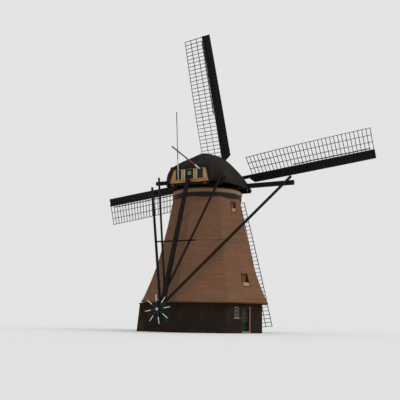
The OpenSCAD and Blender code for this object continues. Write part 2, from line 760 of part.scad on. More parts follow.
// Feet and tips of the two flagpoles, and the socket of the slanting one
flag_x = 1000;
upright_out = 120;
upright_lean = 300;
upright_h = 6230;
upright_cut = 20;
upright_foot = [-flag_x, gable_y - upright_out, cap_eave_z + gable_win_z];
upright_tip = [-flag_x - upright_lean, gable_y - upright_out, cap_eave_z + upright_h];
slant_foot_h = 1040;
slant_tip_x = 810;
slant_out = 1520;
slant_tip_h = 2830;
slant_foot = [flag_x, gable_y - board_t / 2, cap_eave_z + slant_foot_h];
slant_tip = [-slant_tip_x, gable_y - slant_out, cap_eave_z + slant_tip_h];
flag_r = 45;
slant_r = 65;
socket_w = 140;
module flagpoles() {
    color("#c9ccc8") difference() {
        rod(upright_foot - [0, 0, upright_cut], upright_tip, flag_r);
        translate(upright_foot - [2 * flag_r, 2 * flag_r, cut_reach])
            cube([4 * flag_r, 4 * flag_r, cut_reach]);
    }
    color("#a03a34") {
        difference() {
            rod(slant_foot, slant_tip, slant_r);
            translate([0, gable_y, cap_eave_z]) cube(cut_reach);
        }
        translate([slant_foot.x - socket_w / 2, gable_y - 60, slant_foot.z - socket_w / 2])
            cube([socket_w, 80, socket_w]);
    }
}

module windshaft() color("#3a3d3c") at_shaft() rotate([90, 0, 0])
    translate([0, 0, stock_gap / 2 + stock_d / 2 + 120]) cylinder(r = shaft_r, h = shaft_len);

poll_w = 640;
module poll_end() color("#3a3d3c") at_shaft() difference() {
    translate([-poll_w / 2, -stock_gap / 2 - stock_d / 2 - 120, -poll_w / 2])
        cube([poll_w, stock_gap + stock_d + 240, poll_w]);
    stock_shape(stock_gap / 2, 90);
    stock_shape(-stock_gap / 2, 0);
}

// A tapered stock through the poll end, f in front of the middle
module stock_shape(f, turn) translate([0, f, 0]) rotate([0, turn - sail_turn, 0]) intersection() {
    rotate([90, 0, 0]) linear_extrude(2 * stock_d, center = true) polygon([
        [-stock_tip_w / 2, -sail_r], [stock_tip_w / 2, -sail_r], [stock_w / 2, -stock_root],
        [stock_w / 2, stock_root], [stock_tip_w / 2, sail_r], [-stock_tip_w / 2, sail_r],
        [-stock_w / 2, stock_root], [-stock_w / 2, -stock_root]]);
    rotate([90, 0, 90]) linear_extrude(2 * stock_w, center = true) polygon([
        [-stock_tip_d / 2, -sail_r], [stock_tip_d / 2, -sail_r], [stock_d / 2, -stock_root],
        [stock_d / 2, stock_root], [stock_tip_d / 2, sail_r], [-stock_tip_d / 2, sail_r],
        [-stock_d / 2, stock_root], [-stock_d / 2, -stock_root]]);
}

// Frame of sail k at rest: +Z along the stock, +X ahead, +Y to the front
module at_sail(k) at_shaft() translate([0, k % 2 == 0 ? -stock_gap / 2 : stock_gap / 2, 0])
    rotate([0, 90 * k - sail_turn, 0]) children();

module rung_bars() for (i = [0:rungs - 1]) let (r = lattice_start + rung_inset + i * rung_pitch)
    translate([0, 0, r]) rotate([0, 0, twist(r)]) translate([-lattice_at(r), -rung_t / 2, -rung_t / 2])
        cube([lattice_at(r) + lead_at(r) - rung_t, rung_t, rung_t]);

hem_parts = 4;
function hem_at(m, r) = -lattice_at(r) + rung_t / 2 + (3 - m) * (lattice_at(r) - stock_w / 2) / 3;
module hem_bar(m) for (j = [0:hem_parts - 1]) let (
        r0 = lattice_start + sail_len * j / hem_parts, r1 = r0 + sail_len / hem_parts)
    timber(sail_pt(r0, hem_at(m, r0), 0), sail_pt(r1, hem_at(m, r1), 0), rung_t, rung_t);

module stock(f, turn, k) color("#2b2724") difference() {
    at_shaft() stock_shape(f, turn);
    at_sail(k) rung_bars();
    at_sail(k + 2) rung_bars();
}

module outer_stock() stock(stock_gap / 2, 90, 1);

module inner_stock() stock(-stock_gap / 2, 0, 0);

module lattice(k) color("#4a3b30") at_sail(k) {
    rung_bars();
    for (m = [1:3]) hem_bar(m);
}

// Leading boards in lengths, the first with a slanting root
module leading_boards() color("#241f1b") for (k = [0:3]) at_sail(k) for (j = [0:lead_boards - 1]) {
    span = (sail_r - lead_from) / lead_boards;
    r0 = lead_from + span * j + 1;
    r1 = lead_from + span * (j + 1) - 1;
    front = rung_t / 2 + 3 * joint_gap;
    loft([for (i = [0:8]) let (r = r0 + (r1 - r0) * i / 8, p = i == 0 && j == 0 ? lead_point : 0,
            a = lead_start(r), b = lead_at(r)) [
        sail_pt(r, a, front), sail_pt(r + p, b, front), sail_pt(r + p, b, front + lead_t),
        sail_pt(r, a, front + lead_t)]]);
}

module rolled_sails() color("#8b8478") for (k = [0:3]) at_sail(k)
    loft([for (i = [0:10]) let (r = roll_from + (roll_to - roll_from) * i / 10) [for (c = [0:11])
        let (f = rung_t / 2 + roll_r + joint_gap) sail_pt(r, -stock_half(r) - 2 * roll_r - 10 + roll_r * cos(30 * c),
            f + roll_r * sin(30 * c))]]);

floor_slab();
plain_base_sides([3, 5, 7]);  // base_walls_odd
plain_base_sides([0, 2, 4, 6]);  // base_walls_even
wall_left_of_door();
wall_right_of_door();
wall_over_door();
threshold();
door_frame();
door_leaf();
door_glass();
base_window();
base_window_glass();
annexe();
annexe_coping();
color("#6e5a45") for (i = [1:2:7]) thatch_side(i);  // thatch_sides_odd
color("#6e5a45") for (i = [0:2:6]) thatch_side(i);  // thatch_sides_even
hatch_frames();
hatch_leaves();
hatch_sills();
dark_band();
pale_ring();
cap_ring();
side_beams();
cross_beams();
shaft_beams();
cap_thatch(-1);  // cap_thatch_left
cap_thatch(1);  // cap_thatch_right
rear_gable();
gable_windows();
front_boards();
long_spruit();
short_spruit();
tail_pole();
long_braces();
short_braces();
cross_bar();
tie_cables();
winch_cheeks();
winch_wheel();
winch_axle();
flagpoles();
windshaft();
poll_end();
outer_stock();
inner_stock();
lattice(0);  // lattice_up
lattice(1);  // lattice_right
lattice(2);  // lattice_down
lattice(3);  // lattice_left
leading_boards();
rolled_sails();
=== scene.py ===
"""Dresses the thatched mill: reed, tarred brick, boards, tail, winch and sails."""
from __future__ import annotations

import json
import logging
import math
from dataclasses import dataclass, field
from enum import Enum
from typing import Callable, Iterable, Sequence

import bmesh
import bpy
from mathutils import Matrix, Vector, noise


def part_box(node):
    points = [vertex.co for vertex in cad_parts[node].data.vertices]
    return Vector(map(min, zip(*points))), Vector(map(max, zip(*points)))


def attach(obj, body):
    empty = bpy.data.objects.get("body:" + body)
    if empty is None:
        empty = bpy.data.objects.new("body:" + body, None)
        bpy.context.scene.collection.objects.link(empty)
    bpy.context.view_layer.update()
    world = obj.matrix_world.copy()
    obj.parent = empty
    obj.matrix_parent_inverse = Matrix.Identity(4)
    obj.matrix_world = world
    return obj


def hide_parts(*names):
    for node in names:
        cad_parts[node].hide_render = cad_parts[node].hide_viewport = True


LOG = logging.getLogger("mill")
SIDES = 8
HALF_SIDE = math.pi / SIDES
# Azimuth of the door's side, from -Y towards +X
DOOR_AZIMUTH = math.radians(68.0)
FIRST_AZIMUTH = DOOR_AZIMUTH - 2 * HALF_SIDE
SKIN_MAP = "Skin"
# Heights of the two rails in a light of three panes, as shares of its height
THIRDS = (1 / 3, 2 / 3)

Tree = bpy.types.NodeTree
Node = bpy.types.Node
Socket = bpy.types.NodeSocket
Piece = bpy.types.Object
Spot = tuple[float, float, float]


class Body(Enum):
    """The bodies of the frame that pieces ride on."""

    MILL = "mill"
    DOOR = "door"
    CAP = "cap"
    WINCH = "winch"
    SAILS = "sails"


def linear(code: str) -> tuple[float, float, float, float]:
    """Turns an sRGB hex colour, such as "#6b5140", to linear with an alpha of 1."""
    parts = [int(code[i : i + 2], 16) / 255 for i in (1, 3, 5)]
    return tuple(c / 12.92 if c <= 0.04045 else ((c + 0.055) / 1.055) ** 2.4 for c in parts) + (1.0,)


def add_node(tree: Tree, kind: str, inputs: dict | None = None, **settings: object) -> Node:
    """Adds a node with its settings, values and links.

    Args:
        tree: The tree that gets the node.
        kind: The node's type.
        inputs: Value, hex colour or source socket for each input, by name or number.
        **settings: Properties of the node.

    Returns:
        The new node.
    """
    node = tree.nodes.new(kind)
    for key, value in settings.items():
        setattr(node, key, value)
    for key, value in (inputs or {}).items():
        if isinstance(value, Socket):
            tree.links.new(value, node.inputs[key])
        else:
            node.inputs[key].default_value = linear(value) if str(value)[:1] == "#" else value
    return node


def side_point(azimuth: float, across: float, out: float, height: float) -> Vector:
    """Finds a point from its place on a side of the mill.

    Args:
        azimuth: Azimuth of the side, in radians.
        across: Distance to the right of the side's middle, seen from outside.
        out: Distance from the axis.
        height: Height above the ground.

    Returns:
        The point in the frame.
    """
    c, s = math.cos(azimuth), math.sin(azimuth)
    return Vector((across * c + out * s, across * s - out * c, height))


def link_mesh(name: str, points: Sequence[Vector], edges: Sequence[tuple[int, int]] = ()) -> Piece:
    """Makes an object of loose points or edges.

    Args:
        name: Its name.
        points: Its points.
        edges: Pairs of points that it joins.

    Returns:
        The object.
    """
    data = bpy.data.meshes.new(name)
    data.from_pydata(points, edges, [])
    made = bpy.data.objects.new(name, data)
    bpy.context.scene.collection.objects.link(made)
    return made


def settle(piece: Piece) -> None:
    """Turns a piece with modifiers into a plain mesh.

    Args:
        piece: The piece.
    """
    graph = bpy.context.evaluated_depsgraph_get()
    graph.update()
    data = bpy.data.meshes.new_from_object(piece.evaluated_get(graph), depsgraph=graph)
    piece.modifiers.clear()
    piece.data = data


def carry(piece: Piece, body: Body, slot: str, *nodes: str) -> Piece:
    """Puts a finished piece on its body.

    Args:
        piece: The piece.
        body: What it rides on.
        slot: The record's material slot; not used.
        *nodes: Nodes that it stands for.

    Returns:
        The same piece.
    """
    if nodes:
        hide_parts(*nodes)
    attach(piece, body.value)
    LOG.info("%s: %d faces on %s", piece.name, len(piece.data.polygons), body.value)
    return piece


@dataclass
class Palette:
    """The nodes of one material in the making. A colour is a hex code or a socket."""

    tree: Tree
    shader: Node

    def node(self, kind: str, inputs: dict | None = None, **settings: object) -> Node:
        """Adds a node to the material, as add_node does."""
        return add_node(self.tree, kind, inputs, **settings)

    def math(self, operation: str, *values: float | Socket) -> Socket:
        """Joins numbers by one operation."""
        return self.node("ShaderNodeMath", dict(enumerate(values)), operation=operation).outputs[0]

    def vector(self, operation: str, *values: Spot | Socket) -> Node:
        """Joins vectors by one operation."""
        return self.node("ShaderNodeVectorMath", dict(enumerate(values)), operation=operation)

    def total(self, first: tuple[Socket, float], *others: tuple[Socket, float]) -> Socket:
        """Adds values up, each times its weight.

        Args:
            first: Value and weight.
            *others: Values and weights.

        Returns:
            The sum.
        """
        result = self.math("MULTIPLY", *first)
        for part in others:
            result = self.math("ADD", result, self.math("MULTIPLY", *part))
        return result

    def place(self) -> Socket:
        """Returns the object's own coordinates, in metres."""
        return self.node("ShaderNodeTexCoord").outputs["Object"]

    def skin(self) -> Socket:
        """Returns the coordinates of the piece's own map, in metres."""
        return self.node("ShaderNodeUVMap", uv_map=SKIN_MAP).outputs[0]

    def part(self, vector: Socket, axis: int) -> Socket:
        """Returns one of a vector's three parts."""
        return self.node("ShaderNodeSeparateXYZ", {0: vector}).outputs[axis]

    def wall(self) -> Socket:
        """Makes coordinates that follow an upright face.

        Returns:
            The place along it, up and out.
        """
        source = self.node("ShaderNodeTexCoord")
        place, normal = source.outputs["Object"], source.outputs["Normal"]
        across = self.vector("CROSS_PRODUCT", (0, 0, 1), normal).outputs[0]
        unit = self.vector("NORMALIZE", across).outputs[0]
        along, out = (self.vector("DOT_PRODUCT", place, way).outputs["Value"] for way in (unit, normal))
        return self.node("ShaderNodeCombineXYZ", {0: along, 1: self.part(place, 2), 2: out}).outputs[0]

    def scaled(self, place: Socket, scale: Spot, turn: Spot = (0, 0, 0)) -> Socket:
        """Turns coordinates by radians, then stretches them by the repeats in a metre."""
        turned = self.node("ShaderNodeMapping", {"Vector": place, "Rotation": turn}).outputs[0]
        return self.vector("MULTIPLY", turned, scale).outputs[0]

    def cloud(self, place: Socket, scale: Spot, detail: float = 3.0, rough: float = 0.55,
              turn: Spot = (0, 0, 0)) -> Socket:
        """Makes a soft random value from 0 to 1.

        Args:
            place: Coordinates that it follows.
            scale: Repeats in a metre, along each axis.
            detail: Number of finer layers.
            rough: Weight of the finer layers.
            turn: Turn of the coordinates in radians.

        Returns:
            The value.
        """
        return self.node("ShaderNodeTexNoise", {"Vector": self.scaled(place, scale, turn), "Scale": 1.0,
                                                "Detail": detail, "Roughness": rough}).outputs[0]

    def ramp(self, factor: Socket, *stops: tuple[float, str], hard: bool = False) -> Socket:
        """Colours a factor.

        Args:
            factor: What the colours follow, from 0 to 1.
            *stops: Place and hex colour of each stop.
            hard: True for bands with sharp edges.

        Returns:
            The colour.
        """
        node = self.node("ShaderNodeValToRGB", {"Fac": factor})
        node.color_ramp.interpolation = "CONSTANT" if hard else "LINEAR"
        elements = node.color_ramp.elements
        elements.remove(elements[-1])
        elements[0].position, elements[0].color = stops[0][0], linear(stops[0][1])
        for place, code in stops[1:]:
            elements.new(place).color = linear(code)
        return node.outputs["Color"]

    def mix(self, factor: float | Socket, first: str | Socket, second: str | Socket,
            mode: str = "MIX") -> Socket:
        """Mixes two colours.

        Args:
            factor: Share of the second colour.
            first: Colour below.
            second: Colour above.
            mode: How they mix.

        Returns:
            The colour.
        """
        return self.node("ShaderNodeMix", {0: factor, 6: first, 7: second}, data_type="RGBA",
                         blend_type=mode).outputs[2]

    def patch(self, factor: Socket, low: float, high: float, first: str | Socket, second: str | Socket,
              most: str = "#ffffff") -> Socket:
        """Lays a second colour over a first in patches.

        Args:
            factor: What the patches follow.
            low: Factor at which they start.
            high: Factor from which they are full.
            first: Colour below.
            second: Colour of the patches.
            most: Grey level of a full patch.

        Returns:
            The colour.
        """
        return self.mix(self.ramp(factor, (low, "#000000"), (high, most)), first, second)

    def shadow(self, share: float, colour: Socket, factor: Socket, dark: str, low: float = 0.3,
               high: float = 0.7) -> Socket:
        """Darkens a colour where a factor is low.

        Args:
            share: Share of the darkening that shows.
            colour: The colour.
            factor: What it follows.
            dark: The darkest tone.
            low: Factor at which it is darkest.
            high: Factor from which the colour is left alone.

        Returns:
            The colour.
        """
        return self.mix(share, colour, self.ramp(factor, (low, dark), (high, "#ffffff")), "MULTIPLY")

    def coat(self, colour: Socket, roughness: float | Socket, gloss: float = 0.5, **others: float) -> None:
        """Gives the shader its values.

        Args:
            colour: Its colour.
            roughness: Its roughness.
            gloss: Its specular level.
            **others: Other inputs, with an underscore for each space.
        """
        values = {"Base Color": colour, "Roughness": roughness, "Specular IOR Level": gloss}
        values.update({key.replace("_", " "): value for key, value in others.items()})
        for key, value in values.items():
            if isinstance(value, Socket):
                self.tree.links.new(value, self.shader.inputs[key])
            else:
                self.shader.inputs[key].default_value = value

    def relief(self, height: Socket, depth: float) -> None:
        """Gives the surface a relief of a depth in metres, from a height from 0 to 1."""
        bump = self.node("ShaderNodeBump", {"Height": height, "Distance": depth, "Strength": 1.0})
        self.tree.links.new(bump.outputs[0], self.shader.inputs["Normal"])


@dataclass(frozen=True)
class Finish:
    """A finish, made once as a material."""

    name: str

    def paint(self, p: Palette) -> None:
        """Adds the nodes of the finish.

        Args:
            p: The nodes of the material.
        """
        raise NotImplementedError

    def material(self) -> bpy.types.Material:
        """Makes the material the first time.

        Returns:
            The material.
        """
        known = bpy.data.materials.get(self.name)
        if known:
            return known
        made = bpy.data.materials.new(self.name)
        made.use_nodes = True
        tree = made.node_tree
        tree.nodes.clear()
        shader = add_node(tree, "ShaderNodeBsdfPrincipled")
        add_node(tree, "ShaderNodeOutputMaterial", {"Surface": shader.outputs[0]})
        self.paint(Palette(tree, shader))
        return made


@dataclass(frozen=True)
class Reed(Finish):
    """Reed thatch: cut stalk ends give a matt, fine-grained coat in faint courses."""

    pale: str
    middle: str
    dark: str
    moss: str
    moss_share: float
    # Real stalks are 6 mm thick; drawn as bundles, which is what shows from the ground
    bundle: float = 0.045
    course: float = 0.42

    def paint(self, p: Palette) -> None:
        """Adds bundles, courses with a painted shade line at each, rain streaks and moss.

        Args:
            p: The nodes of the material.
        """
        place = p.skin()
        bundles = p.cloud(place, (1 / self.bundle, 4.0, 1), 4.0, 0.6)
        grain = p.cloud(place, (3 / self.bundle, 26.0, 1), 2.0)
        streaks = p.cloud(place, (0.5, 4.2, 1), 4.0, 0.65)
        layers = p.cloud(place, (2.6, 24.0, 1), 3.0, 0.6)
        patches = p.cloud(place, (0.55, 0.4, 1), 4.0, 0.6)
        wander = p.math("MULTIPLY", p.cloud(place, (0.9, 0.5, 1)), 0.15)
        step = p.math("FRACT", p.math("DIVIDE", p.math("ADD", p.part(place, 1), wander), self.course))
        lip = p.math("SMOOTH_MIN", p.math("MULTIPLY", step, 5.0), 1.0, 0.3)
        tone = p.total((bundles, 0.15), (streaks, 0.45), (layers, 0.4))
        colour = p.ramp(tone, (0.2, self.dark), (0.5, self.middle), (0.8, self.pale))
        # Painted shade: a dark line where each course steps onto the next, following the same step as the
        # relief
        colour = p.mix(p.math("MULTIPLY", p.math("SUBTRACT", 1.0, lip), 0.12), colour, self.dark)
        colour = p.patch(patches, 0.5, 0.72, colour, p.mix(self.moss_share, colour, self.moss))
        p.coat(p.shadow(0.35, colour, grain, "#8c8c8c"), 0.94, 0.04)
        p.relief(p.total((bundles, 0.55), (lip, 0.14), (grain, 0.15)), 0.05)


@dataclass(frozen=True)
class TarredBrick(Finish):
    """Fired brick under old tar: dark, with brown where the coat has worn."""

    brick: str
    worn: str
    tar: str
    length: float = 0.21
    height: float = 0.06
    joint: float = 0.009

    def paint(self, p: Palette) -> None:
        """Adds bricks, joints and the worn coat.

        Args:
            p: The nodes of the material.
        """
        place = p.wall()
        bond = p.node("ShaderNodeTexBrick", {
            "Vector": place, "Color1": self.brick, "Color2": self.tar, "Mortar": "#191410", "Scale": 1.0,
            "Mortar Size": self.joint, "Mortar Smooth": 0.2, "Bias": -0.1,
            "Brick Width": self.length + self.joint, "Row Height": self.height + self.joint}).outputs
        wear = p.cloud(place, (1.4, 0.7, 1), 5.0, 0.65)
        damp = p.cloud(place, (5.0, 0.5, 1))
        colour = p.patch(wear, 0.48, 0.75, bond[0], self.worn, "#9a9a9a")
        p.coat(p.patch(damp, 0.5, 0.8, colour, "#1d1813", "#8a8a8a"), 0.85, 0.12)
        p.relief(p.total((bond[1], -0.8), (p.cloud(place, (90, 90, 90), 2.0), 0.2)), 0.008)


@dataclass(frozen=True)
class Timber(Finish):
    """Sawn timber under tar or paint: fine grain along its length and dull wear."""

    coat: str
    worn: str
    turn: Spot = (0.0, 0.0, 0.0)
    roughness: float = 0.7
    wear: float = 0.5
    # Grain lines of 12 mm, coarser than the real 3 mm, so that they show
    grain: float = 0.012

    def paint(self, p: Palette) -> None:
        """Adds grain, checks and worn places.

        Args:
            p: The nodes of the material.
        """
        place = p.place()
        lines = p.cloud(place, (1 / self.grain, 1 / self.grain, 1.2), 3.0, turn=self.turn)
        checks = p.cloud(place, (26, 26, 0.7), 2.0, 0.4, self.turn)
        rubbed = p.cloud(place, (1.1, 1.1, 1.1), 5.0, 0.65)
        colour = p.patch(rubbed, 0.45, 0.8, self.coat, p.mix(self.wear, self.coat, self.worn))
        colour = p.shadow(0.5, colour, lines, "#a8a8a8")
        colour = p.patch(checks, 0.62, 0.7, colour, "#0d0b09", "#6a6a6a")
        p.coat(colour, p.math("ADD", p.math("MULTIPLY", rubbed, 0.25), self.roughness - 0.1), 0.1)
        cracks = p.math("GREATER_THAN", checks, 0.66)
        p.relief(p.math("SUBTRACT", p.math("MULTIPLY", lines, 0.4), cracks), 0.003)


@dataclass(frozen=True)
class Boards(Finish):
    """Painted upright boards side by side, each with its own tone and a dark joint."""

    coat: str
    worn: str
    width: float

    def paint(self, p: Palette) -> None:
        """Adds boards, joints, grain and faded paint.

        Args:
            p: The nodes of the material.
        """
        place = p.wall()
        run = p.math("DIVIDE", p.part(place, 0), self.width)
        board = p.node("ShaderNodeTexWhiteNoise", {"W": p.math("FLOOR", run)}, noise_dimensions="1D")
        joint = p.math("LESS_THAN", p.math("PINGPONG", run, 0.5), 0.035)
        grain = p.cloud(place, (60, 2.0, 60))
        colour = p.patch(p.cloud(place, (1.5, 0.9, 1.0), 4.0, 0.6), 0.4, 0.75, self.coat, self.worn)
        colour = p.shadow(0.35, colour, board.outputs["Value"], "#a9a9a9", 0.0, 1.0)
        colour = p.shadow(0.4, colour, grain, "#b0b0b0")
        p.coat(p.mix(p.math("MULTIPLY", joint, 0.75), colour, "#1a1410"), 0.62, 0.15)
        p.relief(p.math("SUBTRACT", p.math("MULTIPLY", grain, 0.15), joint), 0.006)


@dataclass(frozen=True)
class OilPaint(Finish):
    """Oil paint on planed wood: even and satin, a little chalky where the sun reaches it."""

    coat: str
    faded: str
    roughness: float = 0.5

    def paint(self, p: Palette) -> None:
        """Adds fading, brush marks and a soft relief.

        Args:
            p: The nodes of the material.
        """
        place = p.place()
        brush = p.cloud(place, (80, 80, 7), 2.0)
        colour = p.patch(p.cloud(place, (2.2, 2.2, 1.4), 5.0, 0.6), 0.4, 0.75, self.coat, self.faded)
        p.coat(p.shadow(0.25, colour, brush, "#b4b4b4"), self.roughness, 0.16)
        p.relief(brush, 0.0015)


@dataclass(frozen=True)
class BandedPaint(Finish):
    """Oil paint in bands along a pole, by the run of its own map."""

    length: float
    bands: tuple[tuple[float, str], ...]

    def paint(self, p: Palette) -> None:
        """Adds the bands and a little dirt.

        Args:
            p: The nodes of the material.
        """
        colour = p.ramp(p.math("DIVIDE", p.part(p.skin(), 1), self.length), *self.bands, hard=True)
        p.coat(p.shadow(0.5, colour, p.cloud(p.place(), (9, 9, 3), 4.0, 0.6), "#9c9c9c"), 0.5)


@dataclass(frozen=True)
class SpokePaint(Finish):
    """Oil paint on the winch wheel: green hub and arms, white hand ends."""

    axis_height: float
    white_from: float

    def paint(self, p: Palette) -> None:
        """Adds the two colours by the distance from the axle, and hand wear.

        Args:
            p: The nodes of the material.
        """
        place = p.place()
        centred = p.node("ShaderNodeMapping",
                         {"Vector": place, "Location": (0, 0, -self.axis_height)}).outputs[0]
        far = p.vector("LENGTH", p.vector("MULTIPLY", centred, (1, 0, 1)).outputs[0]).outputs["Value"]
        dirt = p.cloud(place, (11, 11, 11), 5.0, 0.65)
        colour = p.mix(p.math("GREATER_THAN", far, self.white_from), "#0d1a16", "#dedcd4")
        p.coat(p.shadow(0.55, colour, dirt, "#8f8b80", 0.3, 0.62), 0.5)
        p.relief(dirt, 0.002)


@dataclass(frozen=True)
class Iron(Finish):
    """Cast or wrought iron under old black paint, with rust at its worn places."""

    coat: str = "#1d1d1d"
    rust: str = "#4b3022"

    def paint(self, p: Palette) -> None:
        """Adds rust and a pitted relief.

        Args:
            p: The nodes of the material.
        """
        place = p.place()
        p.coat(p.patch(p.cloud(place, (4, 4, 4), 5.0, 0.65), 0.52, 0.72, self.coat, self.rust), 0.6, 0.15)
        p.relief(p.cloud(place, (35, 35, 35), 4.0, 0.6), 0.002)


@dataclass(frozen=True)
class Canvas(Finish):
    """Flax sailcloth, rolled and weathered: a coarse matt weave with folds along the roll."""

    cloth: str = "#5d5549"
    # Colour of the fold hollows: painted shade
    dirt: str = "#37312a"
    # Colour of the fold crests: painted highlight
    edge: str = "#7b7263"

    def paint(self, p: Palette) -> None:
        """Adds weave and folds, with painted shade in the fold hollows and a painted highlight on the crests.

        Args:
            p: The nodes of the material.
        """
        place = p.skin()
        folds = p.cloud(place, (14, 1.1, 1), 4.0, 0.6)
        # Threads of 8 mm stand for the real 1 mm, which is too fine to show
        weave = p.node("ShaderNodeTexWave", {"Vector": p.scaled(place, (125, 125, 1)), "Scale": 0.5,
                                             "Distortion": 0.6}, wave_type="BANDS").outputs["Fac"]
        # The colour follows the fold height that also drives the relief: painted shade low, painted highlight
        # high
        p.coat(p.ramp(folds, (0.3, self.dirt), (0.6, self.cloth), (0.8, self.edge)), 0.9, Sheen_Weight=0.2)
        p.relief(p.total((folds, 1.0), (weave, 0.2)), 0.012)


@dataclass(frozen=True)
class WindowGlass(Finish):
    """Drawn window glass: dark against the room behind, with a slight wave and dust."""

    tint: str = "#1b2422"
    dust: str = "#55605c"

    def paint(self, p: Palette) -> None:
        """Adds the dark pane, its wave and dust in the roughness.

        Args:
            p: The nodes of the material.
        """
        place = p.place()
        dust = p.cloud(place, (18, 18, 18), 4.0)
        p.coat(p.mix(p.math("MULTIPLY", dust, 0.25), self.tint, self.dust),
               p.math("ADD", p.math("MULTIPLY", dust, 0.15), 0.02), 0.12, IOR=1.52, Transmission_Weight=0.15)
        p.relief(p.cloud(place, (3, 3, 3), 1.0), 0.002)


# Turns of the grain towards the length of leaning, level and lengthwise timbers
LEANING, LEVEL, LENGTHWISE = (0.35, 0.0, 0.0), (0.0, math.pi / 2, 0.0), (math.pi / 2, 0.0, 0.0)
BODY_REED = Reed("Body reed thatch", "#8d6a53", "#745440", "#50392b", "#654c34", 0.4)
CAP_REED = Reed("Mossy cap thatch", "#3a332b", "#26231e", "#171512", "#42342a", 0.55)
FRINGE_REED = Timber("Cut reed ends", "#8a7059", "#a3876d", roughness=0.9)
BRICK = TarredBrick("Tarred brick", "#2d2118", "#42321f", "#19120e")
ANNEXE_BRICK = TarredBrick("Worn annexe brick", "#46382a", "#5c4b39", "#2a211a")
TAR = Timber("Tarred oak", "#171312", "#27211d", LEANING)
TAR_LEVEL = Timber("Tarred oak, level beams", "#171312", "#27211d", LEVEL)
CAP_OAK = Timber("Dark cap oak", "#171311", "#2b231d", LENGTHWISE)
LATTICE = Timber("Stained sail battens", "#2e2823", "#4b4138", LEVEL)
LEADING = Timber("Tarred leading boards", "#10151a", "#1c242a", roughness=0.5, wear=0.35)
STOCK = Timber("Tarred stocks", "#10151a", "#1c242a", roughness=0.5, wear=0.4)
# Tarred boards; their dark blue-grey is also painted shade for the band under the pale ring and the cap
TARRED_BAND_WITH_PAINTED_SHADE = Boards("Tarred band boards with painted shade", "#23242a", "#2e2f33", 0.3)
# Pale tan paint, its colours raised well above the paint's own as painted light on the ring under the cap's
# eave
RING_WITH_PAINTED_LIGHT = Boards("Pale tan ring paint with painted light", "#ffd09e", "#f2b888", 0.75)
GABLE = Boards("Ochre gable boards", "#b58a58", "#c9a878", 0.11)
POST = OilPaint("Tan post paint", "#b3a283", "#c6b798")
SILL = OilPaint("Ochre sill paint", "#bb8850", "#cca472")
OCHRE = OilPaint("Ochre door paint", "#85694a", "#987c5b")
RED = OilPaint("Dark red paint", "#4c1418", "#611f20")
GREEN = OilPaint("Dark green paint", "#0f211b", "#183028")
WINCH_GREEN = OilPaint("Winch green paint", "#0b1916", "#12261f")
SAGE = OilPaint("Sage sash paint", "#3a4f40", "#4b6152")
TEAL = OilPaint("Teal green paint", "#06221a", "#0e3428")
WHITE = OilPaint("White paint", "#c9c8bd", "#dddcd2")
CREAM = OilPaint("Cream sash paint", "#82775f", "#988d74")
DARK_BROWN = Timber("Dark brown paint", "#3a281c", "#543c2b", wear=0.8)
HATCH = Boards("Brown hatch boards", "#7a4c28", "#8f6439", 0.12)
BARE = Timber("Bare weathered wood", "#a8835f", "#bd9f7e", LEVEL, 0.9)
COPING = Timber("Tarred coping", "#1f1b18", "#37302a", LEVEL)
STONE = OilPaint("Worn sill stone", "#77705f", "#8f8877", 0.85)
IRON = Iron("Painted iron")
CANVAS = Canvas("Rolled canvas")
GLASS = WindowGlass("Window glass")
ROPE = OilPaint("Hemp rope", "#6f6350", "#8b7c63", 0.9)


